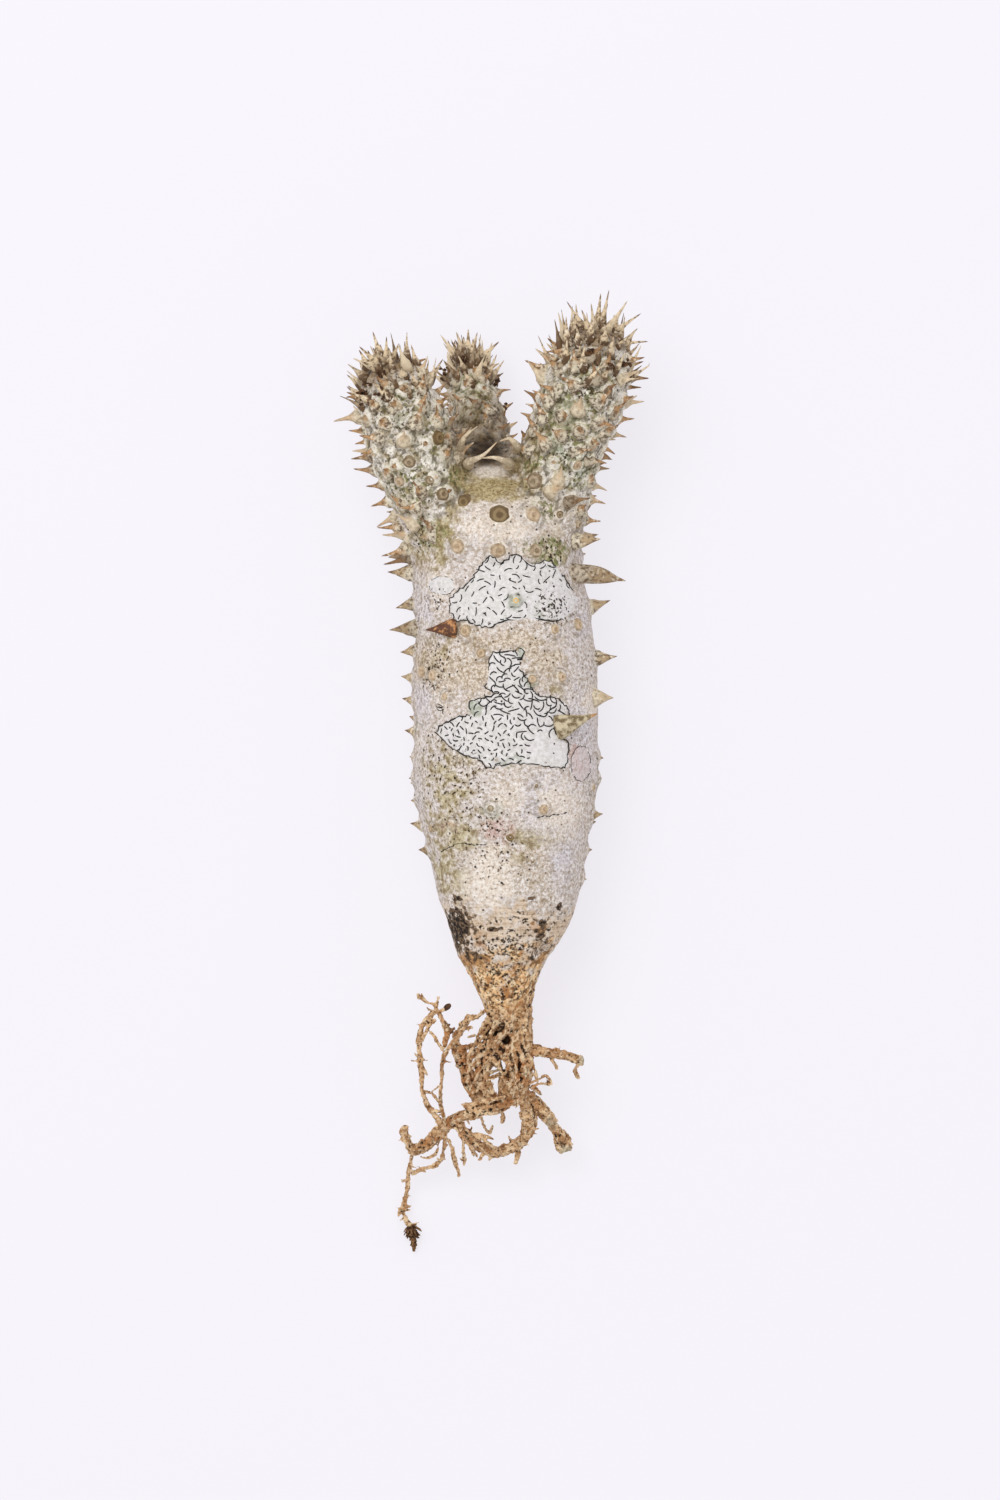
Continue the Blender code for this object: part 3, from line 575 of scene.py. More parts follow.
def make_bark(thorns):
    """One skin over the trunk and the arms, raised by its thorns and textures, with what its colours read."""
    trunk = swept([STEMS["trunk"]], 16)
    for vertex in trunk.vertices:
        vertex.co.z = (AXIS_HEIGHT + (vertex.co.z / MM - AXIS_HEIGHT) * TRUNK_DEPTH) * MM
    arms = [swept([STEMS[side]], 10) for side in ARMS]
    web = swept(WEBS, 8)
    bark = melted("bark_skin", [trunk, *arms, web], BARK_VOXEL, BARK_SMOOTHING, levels=1)
    mesh = bark.data
    places, normals = points_of(mesh)
    lift, nearest = swollen_by(thorns, places)
    x, y = places.T[:2]
    facing = step(normals[:, 2], -0.15, 0.35)
    upper, lower = inside(places, UPPER_LICHEN), inside(places, LOWER_LICHEN)
    lichen = np.maximum.reduce([upper, lower, inside(places, WHITE_SPOT)])
    lichen = np.where(facing > 0.3, lichen, NOT_INSIDE)
    drop = -y + 2.4 * grain(places, 7, 3)
    corky = step(drop, 35.5, 48)
    saddle = (1 - step(np.abs(x - 0.5), 5, 9)) * (1 - step(y, 76, 80))
    on_arms = step(y, 58, 74) * (1 - saddle)
    shade = (1 - step(np.hypot((x + 0.4) * 0.8, (y - 84) * 0.85), 4, 12)) * step(y, 74, 78)
    # Lumps, wrinkles across the swollen part, creases on the arms and flaking cork at the foot
    height = LUMP * grain(places, 13, 1) * (1 - 0.3 * corky)
    height += WRINKLE * grain(places, 2.4, 2)
    height += on_arms * (ARM_RIDGE * ridges(places, 2.6, 4) - 0.1)
    stretched = places * (0.3, 1.6, 0.3)
    height += STRETCH * (1 - on_arms) * grain(stretched, 2.2, 5)
    flakes = ridges(places * (1, 0.75, 1), 2.0, 6)
    height += corky * (CORK_FLAKE * flakes - 0.2)
    height += LICHEN_RISE * step(lichen, -0.1, 0.35) + SHADED_RIDGE * shade * (ridges(places, 1.9, 14) - 0.2)
    height += CALLUS_RISE * (1 - step(np.hypot((x + 0.4) / 5, (y - 75.2) / 2.2), 0.5, 1.1))
    crease = ridges(places, 4.2, 7)
    height -= on_arms * ARM_CREASE * (1 - step(crease, 0.0, 0.14))
    places = places + lift + normals * height[:, None]
    places[:, 2] = np.maximum(places[:, 2], LEAST_HEIGHT)
    move_to(mesh, places)
    paint(mesh, "lichen", lichen)
    paint(mesh, "knob", nearest)
    paint(mesh, "cork", step(drop, 37, 54))
    paint(mesh, "rust", step(drop, 30, 38))
    paint(mesh, "arm", on_arms)
    back = 1 - facing
    for name, areas in AREAS.items():
        found = soft_area(places, facing, areas)
        if name in UNMARKED:
            size, seed, low, high = UNMARKED[name]
            found = np.maximum(found, back * step(grain(places, size, seed), low, high))
        elif name == "grey":
            found = np.maximum(found, UNMARKED_GREY * back)
        paint(mesh, name, found)
    paint(mesh, "bean", np.where(facing > 0.1, inside(places, BEAN), NOT_INSIDE))
    paint(mesh, "shade", shade)
    # Painted shade in the fork's hollow, between the callus and the middle arm
    paint(mesh, "fork_hollow_shade", 1 - step(np.hypot(x + 1.0, (y - 80.6) * 1.15) + 0.8 * grain(places, 2, 15), 2.4, 6.2))
    paint(mesh, "callus", facing * (1 - step(np.hypot((x + 0.4) / 4.4, (y - 75.1) / 1.7), 0.6, 1.15)))
    # Painted shade under the crowns, dark between their scales: full within 5 mm of each arm's end, gone by 11
    # mm
    ends = [np.sqrt(((places - np.array(STEMS[side][-1][:3])) ** 2).sum(1)) for side in ARMS]
    paint(mesh, "ends", 1 - step(np.minimum.reduce(ends), 5, 11))
    paint(mesh, "flake", flakes)
    paint(mesh, "pit", hollowness(mesh, 6))
    return bark


# ---------------------------------------------------------------- thorns

THORN_SIDES = 8
# Along a thorn: share of its length, and share of its foot's radius
THORN_SHAPE = [(0, 1.2), (0.16, 1.05), (0.3, 0.9), (0.44, 0.7), (0.58, 0.48), (0.74, 0.26), (0.9, 0.11)]
NEEDLE_SHAPE = [
    (0, 1.3), (0.18, 1.0), (0.32, 0.8), (0.42, 0.52), (0.52, 0.32), (0.66, 0.21), (0.82, 0.14), (0.94, 0.08),
]
HOOK_SHAPE = [
    (0, 1.1), (0.12, 1.0), (0.3, 1.0), (0.5, 0.94), (0.66, 0.78), (0.76, 0.5), (0.84, 0.24), (0.94, 0.12),
]
SCALE_SHAPE = [(0, 0.9), (0.2, 1.0), (0.36, 0.8), (0.5, 0.5), (0.64, 0.28), (0.8, 0.17), (0.93, 0.1)]
BUTTON_SHAPE = [(0, 1.02), (0.45, 1.0), (0.75, 0.86), (0.95, 0.62), (1.0, 0.4), (0.84, 0.24)]


def unit_thorn(shape, sides=THORN_SIDES):
    """A thorn of unit length and foot radius standing on the origin, drawn up ring by ring to a point."""
    bm = bmesh.new()
    bmesh.ops.create_circle(bm, segments=sides, radius=shape[0][1], cap_ends=True)
    end = bm.faces[:][0]
    for (share, width), (share_before, width_before) in zip(shape[1:], shape):
        end = bmesh.ops.extrude_discrete_faces(bm, faces=[end])["faces"][0]
        ratio = width / width_before
        bmesh.ops.scale(bm, verts=end.verts, vec=(ratio, ratio, 1))
        bmesh.ops.translate(bm, verts=end.verts, vec=(0, 0, share - share_before))
    point = bmesh.ops.poke(bm, faces=[end])["verts"][0]
    point.co.z = 0.8 if shape is BUTTON_SHAPE else 1
    bmesh.ops.holes_fill(bm, edges=[edge for edge in bm.edges if edge.is_boundary], sides=0)
    bmesh.ops.recalc_face_normals(bm, faces=bm.faces)
    return mesh_of("unit_thorn", bm)


def set_thorn(bm, template, start, way, full, radius, bend, flat, tone, dice):
    """Adds a copy of a unit thorn: its foot at start, its length along way, curving towards bend."""
    known = len(bm.verts)
    bm.from_mesh(template)
    along, tones = bm.verts.layers.float["along"], bm.verts.layers.float["tone"]
    bm.verts.ensure_lookup_table()
    up, right = across(way)
    for vert in bm.verts[known:]:
        x, y, share = vert.co
        wobble = 1 + dice.uniform(-0.08, 0.08)
        spoke = (right * x + up * (y * flat)) * radius * wobble
        vert.co = (start + way * (full * share) + bend * (full * share * share) + spoke) * MM
        vert[along], vert[tones] = share, tone


def thorn_bmesh():
    bm = bmesh.new()
    bm.verts.layers.float.new("along")
    bm.verts.layers.float.new("tone")
    return bm


def thorn_piece(name, bm):
    mesh = mesh_of(name, bm)
    mesh.shade_smooth()
    return piece(name, mesh)


def make_thorns(name, thorns, shape, most_bend, sides=THORN_SIDES):
    """Thorns of one kind, each with its own bend, girth and tone."""
    dice = random.Random(name)
    template = unit_thorn(shape, sides)
    bm = thorn_bmesh()
    for one in thorns:
        up, right = across(one.way)
        angle = dice.uniform(0, 2 * math.pi)
        bend = (up * math.cos(angle) + right * math.sin(angle)) * dice.uniform(0.2, 1) * most_bend
        bend.z = abs(bend.z) if one.way.z < -0.1 else min(bend.z, 0)
        flat = dice.uniform(0.92 if shape is BUTTON_SHAPE else 0.75, 1)
        tone = dice.random() if one.tone is None else one.tone
        set_thorn(bm, template, one.foot - one.way * SPINE_SINK, one.way, one.length + SPINE_SINK, one.radius,
                  bend, flat, tone, dice)
    return thorn_piece(name, bm)


# Thorns with a shape of their own: profile, foot, tip, foot radius, bend at the tip, flatness and tone
SPECIAL_THORNS = {
    "hooked_thorn": (HOOK_SHAPE, (18.6, 50.0, 34), (33.6, 50.6, 35.5), 2.5, (0.02, -0.17, -0.02), 0.9, 0.0),
    "leafy_thorn": (THORN_SHAPE, (15.6, 11.2, 43.6), (26.8, 14.8, 42.2), 3.0, (0.0, 0.03, 0.1), 0.6, -1.0),
    "pale_horn": (THORN_SHAPE, (24.6, 19.0, 31), (30.6, 19.6, 31.6), 2.7, (0.02, -0.1, 0.0), 0.85, 1.0),
    "brown_thorn": (THORN_SHAPE, (-8.4, 36.2, 42.6), (-16.6, 36.1, 43.2), 2.4, (0.0, -0.03, -0.05), 0.9, 2.0),
    "hairy_bud": (THORN_SHAPE, (20, 58, 33), (27.6, 58.6, 34.4), 2.3, (0.0, 0.0, 0.0), 0.9, 0.7),
}
# Dried crowns: the needles' tips
CROWN_TIPS = {
    "left": [
        (-29.9, 110.3, 38), (-26.2, 109.0, 40), (-23, 107.4, 38), (-32.6, 106.4, 37), (-34.6, 103.6, 39),
        (-24, 105.6, 44), (-29, 106, 45), (-20.6, 104, 36), (-28, 107.6, 32), (-32, 102.6, 43.5),
    ],
    "right": [
        (18.8, 117.7, 40), (22.6, 115.6, 43), (27, 119.2, 41), (29.8, 120.5, 42), (34.2, 117.4, 40),
        (37, 115, 41), (20.8, 113, 36), (25, 117, 46.5), (32, 115, 46), (29, 117.6, 35.5), (39, 108.2, 38.5),
    ],
    "middle": [
        (-13.2, 110, 11), (-8.8, 111.5, 12.5), (-3.6, 111.2, 12), (1.9, 108.5, 11.5), (-6, 112, 8),
        (-10, 108.6, 16), (-2.4, 108, 16.4), (-7, 110, 5), (-11, 107, 7),
    ],
}
CROWN_SCALES = 50
CROWN_REACH = {"left": 10.5, "right": 11.5, "middle": 8.5}      # how far down the arm the scales start
CROWN_CRUMBS = 46
FORK_SPINES = [
    [(-7.6, 81.5, 38.0), (-6.4, 84, 42.5), (-3.4, 86.4, 44.6)],
    [(-5.6, 77.6, 41.0), (-2.0, 79.2, 44.6), (1.4, 82.4, 45.4)],
    [(4.4, 77.4, 41.8), (1.0, 78.6, 45.0), (-2.2, 78.5, 46.2)],
    [(6.6, 81.6, 38.4), (4.6, 83.4, 40.4), (2.2, 82.8, 41.2)],
]


def make_special_thorn(name, shape, foot, tip, radius, bend, flat, tone):
    bm = thorn_bmesh()
    way = Vector(tip) - Vector(foot)
    set_thorn(bm, unit_thorn(shape, 16), Vector(foot), way.normalized(), way.length, radius,
              Vector(bend), flat, tone, random.Random(name))
    thing = thorn_piece(name, bm)
    finer = thing.modifiers.new("finer", "SUBSURF")
    finer.levels = finer.render_levels = 1
    return thing


def crown_spot(side, back, around):
    """A place on an arm's skin that far back from its end, with the outward and forward directions there."""
    track = STEMS[side]
    end = Vector(track[-1][:3])
    index = min(range(len(track)), key=lambda i: abs((Vector(track[i][:3]) - end).length - back))
    forward = heading(track, index)
    up, right = across(forward)
    outward = right * math.sin(around) + up * math.cos(around)
    return Vector(track[index][:3]) + outward * track[index][3], outward, forward


def make_crown(side):
    """An arm's dried tuft: long needles at the end, and thick pale scales packed all round below them."""
    dice = random.Random(side)
    track = STEMS[side]
    base, end = Vector(track[-5][:3]), Vector(track[-1][:3])
    heart = base.lerp(end, 0.3)
    template = unit_thorn(SCALE_SHAPE)
    hollows = [
        (crown_spot(side, back, math.radians(around))[0], size) for back, around, size in CRUMB_SPOTS[side]
    ]
    bm = thorn_bmesh()
    for tip in CROWN_TIPS[side]:
        foot = heart + (Vector(tip) - heart) * 0.15
        way = Vector(tip) - foot
        bend = shake(dice, 0.05)
        set_thorn(bm, template, foot, way.normalized(), way.length * 0.99, dice.uniform(1.3, 1.8), bend,
                  dice.uniform(0.6, 1), dice.uniform(0.1, 0.9), dice)
    for index in range(CROWN_SCALES):
        share = (index + dice.uniform(-0.4, 0.4)) / CROWN_SCALES
        around = math.radians(index * GOLDEN_ANGLE)
        spot, outward, forward = crown_spot(side, CROWN_REACH[side] * (1 - share), around)
        if any((spot - hollow).length < size for hollow, size in hollows):
            continue
        drift = shake(dice, 0.28)
        way = (forward * (0.75 + 0.5 * share) + outward * (0.75 - 0.45 * share) + drift).normalized()
        length = dice.uniform(3.6, 7.6)
        rise = (TOP - 0.6 - spot.z) / length
        if way.z > rise:
            way = Vector((way.x, way.y, max(rise, -0.2))).normalized()
        if way.z < 0:
            length = min(length, (spot.z - 0.3) / -way.z)
        bend = shake(dice, 0.16)
        bend.z = min(bend.z, 0)
        set_thorn(bm, template, spot - way * 1.4, way, length + 1.4, dice.uniform(0.75, 1.55), bend,
                  dice.uniform(0.5, 0.9), dice.uniform(0, 1), dice)
    return thorn_piece(f"crown_{side}_tuft", bm)


# Where a crown's dark remains are caught: how far back from the arm's end, and degrees round it from the top
CRUMB_SPOTS = {
    "left": [(4, -45, 2.8), (6, -62, 2.0), (5.5, -20, 1.8), (1.5, -10, 1.4)],
    "right": [(7, 24, 1.5), (6.5, 56, 1.5), (4.5, -10, 0.9)],
    "middle": [(4, -60, 2.0), (6, -80, 1.1), (3, -20, 1.6), (9, 80, 1.0), (15, 85, 0.7)],
}


def make_crumbs(side):
    """Dark broken flower and leaf remains stuck in a crown."""
    dice = random.Random(side + "crumbs")
    bm = bmesh.new()
    for index in range(CROWN_CRUMBS):
        back, around, spread = CRUMB_SPOTS[side][index % len(CRUMB_SPOTS[side])]
        spot, outward = crown_spot(side, back, math.radians(around))[:2]
        stray = Vector([dice.gauss(0, 0.45 * spread) for _ in range(3)])
        place = spot + stray + outward * dice.uniform(0.2, 1.6)
        place.z = min(place.z, TOP - 1)
        known = len(bm.verts)
        bmesh.ops.create_icosphere(bm, subdivisions=1, radius=1)
        bm.verts.ensure_lookup_table()
        size = [dice.uniform(0.25, 0.85) for _ in range(3)]
        for vert in bm.verts[known:]:
            wobble = dice.uniform(0.55, 1.25)
            vert.co = (place + Vector([c * s * wobble for c, s in zip(vert.co, size)])) * MM
    return piece(f"crown_{side}_crumbs", mesh_of("crumbs", bm))


def make_fork_spine(number, points):
    """A long pale dry spine with a broad foot, curving across the fork."""
    foot, middle, tip = points
    x, y, z = foot
    rows = track_through([(x, y - 0.4, z - 5, 1.4), (*foot, 1.05), (*middle, 0.48), (*tip, 0.1)], 8)
    mesh = swept([rows], 3)
    mesh.shade_smooth()
    heights = [Vector(v.co - Vector(foot) * MM).length / MM for v in mesh.vertices]
    paint(mesh, "along", [h / max(heights) for h in heights])
    paint(mesh, "tone", [0.9] * len(heights))
    return piece(f"fork_spine_{number}_curved", mesh)


# ---------------------------------------------------------------- script marks of the lichens

ABOVE_ALL = 70
STEEPEST = 0.15                 # upward part of the normal where no mark is laid any more
MARK_STEPS = 6
TRIES = 6000                    # random places tried in each outline
DASHES = 8                      # in each broken line across the trunk
# Broken lines across the trunk: first and last x, y
DASHED = [((-12.5, -19.5), (-8.5, -17.2)), ((-8.5, -17.2), (-1, -17.6)), ((11.5, -10.8), (19, -9.6))]
SIDE_MARKS = [(-12.4, 16.6), (-12.9, 15.8), (-12, 15.6), (-12.6, 17.2), (-12.1, 16.2), (-13.2, 16.6)]
# Places inside the upper lichen with no marks: x, y and radius
UPPER_BARE = [(15.3, 41.5, 5.4), (6.3, 42.8, 1.7)]
# Lines round the lichens and the blotch: outline, seed, share that is drawn, and radius
EDGES = [
    (UPPER_LICHEN, 4, 0.86, 0.26), (LOWER_LICHEN, 5, 0.92, 0.28), (WHITE_SPOT, 6, 0.5, 0.12),
    (BEAN, 7, 0.85, 0.15),
]


def on_bark(tree, x, y, lift):
    """The bark's point under x, y, raised by lift; nothing where the bark turns away."""
    place, normal = tree.ray_cast(Vector((x, y, ABOVE_ALL)) * MM, Vector((0, 0, -1)))[:2]
    if place is None or normal.z < STEEPEST:
        return None
    return place / MM + normal * lift


def laid_line(tree, points, radius):
    """A raised black line that follows the bark under the given points; nothing where the bark turns away."""
    rows = []
    for index, (x, y) in enumerate(points):
        place = on_bark(tree, x, y, -radius * 0.15)
        if place is None:
            return []
        taper = 0.55 if index in (0, len(points) - 1) else 1
        rows.append((*place, radius * taper))
    return [rows]


def scattered(outline, spacing, seed):
    """Random places inside an outline, none nearer another than the spacing."""
    dice = random.Random(seed)
    xs, ys = [p[0] for p in outline], [p[1] for p in outline]
    tried = np.array([
        (dice.uniform(min(xs), max(xs)), dice.uniform(min(ys), max(ys)), 0) for _ in range(TRIES)
    ])
    kept = []
    for (x, y, _), depth in zip(tried, inside(tried, outline)):
        if depth > 0.45 and all((x - a) ** 2 + (y - b) ** 2 > spacing ** 2 for a, b in kept):
            kept.append((x, y))
    return kept


def mark(dice, x, y, length, curl):
    """A short curved stroke centred on a place."""
    angle = dice.uniform(0, math.pi)
    turn = dice.uniform(-curl, curl)
    points = []
    for index in range(MARK_STEPS + 1):
        t = index / MARK_STEPS - 0.5
        bend = angle + turn * t
        points.append((x + math.cos(bend) * length * t, y + math.sin(bend) * length * t))
    return points


def border(outline, wobble, seed):
    """The outline walked in small steps with a shaky hand."""
    rows = track_through([*outline, outline[0]], 6)
    return [
        (x + wobble * noise.noise(Vector((x * 1.3, y * 1.3, seed))),
         y + wobble * noise.noise(Vector((x * 1.3, y * 1.3, seed + 9)))) for x, y in rows
    ]


def make_script(bark):
    """The black script marks on the two lichens and the broken line round each."""
    faces = [polygon.vertices for polygon in bark.data.polygons]
    tree = BVHTree.FromPolygons([vertex.co for vertex in bark.data.vertices], faces)
    dice = random.Random(3)
    tracks = []
    for x, y in scattered(UPPER_LICHEN, 1.75, 31):
        if any(math.hypot(x - bare_x, y - bare_y) < radius for bare_x, bare_y, radius in UPPER_BARE):
            continue
        tracks += laid_line(tree, mark(dice, x, y, dice.uniform(0.8, 2.5), 0.9), 0.18)
    bare_x, bare_y, wide, long = BARE_CORNER
    for x, y in scattered(LOWER_LICHEN, 1.25, 32):
        if x > bare_x - wide and y < bare_y + long - (x - bare_x) * 0.35:
            continue
        upper = y > 14.5 or x > 6 and y > 8 - 0.3 * (x - 6)
        length = dice.uniform(1.6, 3.2) if upper else dice.uniform(0.7, 1.7)
        tracks += laid_line(tree, mark(dice, x, y, length, 1.5 if upper else 0.8), 0.2)
    for x, y in SIDE_MARKS:
        tracks += laid_line(tree, mark(dice, x, y, 1.6, 1.2), 0.14)
    for outline, seed, share, thick in EDGES:
        walk = border(outline, 0.7 if thick > 0.15 else 0.3, seed)
        for start in range(0, len(walk) - 1, 5):
            if dice.random() < share:
                tracks += laid_line(tree, walk[start:start + 6], thick * dice.uniform(0.6, 1))
    for start, stop in DASHED:
        for index in range(DASHES):
            a, b = index / DASHES, (index + 0.9) / DASHES
            points = []
            for t in (a, (a + b) / 2, b):
                x, y = start[0] + (stop[0] - start[0]) * t, start[1] + (stop[1] - start[1]) * t
                points.append((x, y + 0.5 * noise.noise(Vector((x, y, 7)))))
            tracks += laid_line(tree, points, dice.uniform(0.1, 0.24))
    mesh = swept(tracks, 0)
    mesh.shade_smooth()
    return piece("script_marks", mesh)


# ---------------------------------------------------------------- roots

TAPROOT_CORE = [
    (3.4, -46, 25.2, 9.2), (3.7, -52, 24.9, 7.6), (4.5, -58, 24.5, 6.4), (5.2, -62, 24, 5.6),
    (6.4, -66.5, 23.4, 4.7), (7.4, -71, 22.8, 3.8), (6.8, -75, 22.2, 4.0), (5.6, -78.4, 21.8, 4.4),
    (5.0, -81, 21.2, 3.5), (4.8, -82.4, 20.8, 1.8),
]
# Strands of loose bark down the taproot's left side
TAPROOT_RIBBONS = [
    [(5.6, -60.6, 29.2, 0.9), (3.7, -64.3, 28.4, 1.0), (1, -66.6, 27, 0.8), (-1, -69, 26, 0.6)],
    [(1.8, -61, 28, 0.8), (-0.2, -66, 26.4, 0.6), (-1.1, -69, 25.4, 0.7), (-1.6, -73, 24, 0.6),
     (-0.7, -77.2, 23, 0.8), (-0.5, -80.8, 22, 0.9)],
    [(-0.4, -60.6, 26.4, 0.8), (-2.6, -64, 24.6, 0.6), (-4.3, -68, 23, 0.5), (-5.6, -71.6, 22, 0.6),
     (-4.4, -75, 21.6, 0.6), (-2.8, -78.4, 21, 0.8)],
    [(0.4, -62, 25.6, 0.6), (-2.6, -66.4, 24.6, 0.5), (-3.2, -70.4, 24, 0.7), (-3, -74, 23.4, 0.6),
     (-2.2, -77.6, 22.6, 0.7), (-1.2, -80.4, 22, 0.7)],
    [(1, -67.3, 27, 0.5), (1.7, -69.4, 26.6, 0.7), (3.8, -71.4, 26.4, 0.7), (5.2, -72.8, 26.4, 0.6)],
    [(-0.6, -69, 25.6, 0.5), (0.8, -71.6, 25.8, 0.6), (2.6, -74, 25.4, 0.5), (3.6, -77, 25, 0.6)],
]
TAPROOT_STRANDS = 42
WINDOW = (0.9, -75, 1.7)            # where the floor shows between the strands: x, y and radius
KNOT_HOLE = (3.9, -66.6, 1.3)       # a brown hollow in the taproot's face
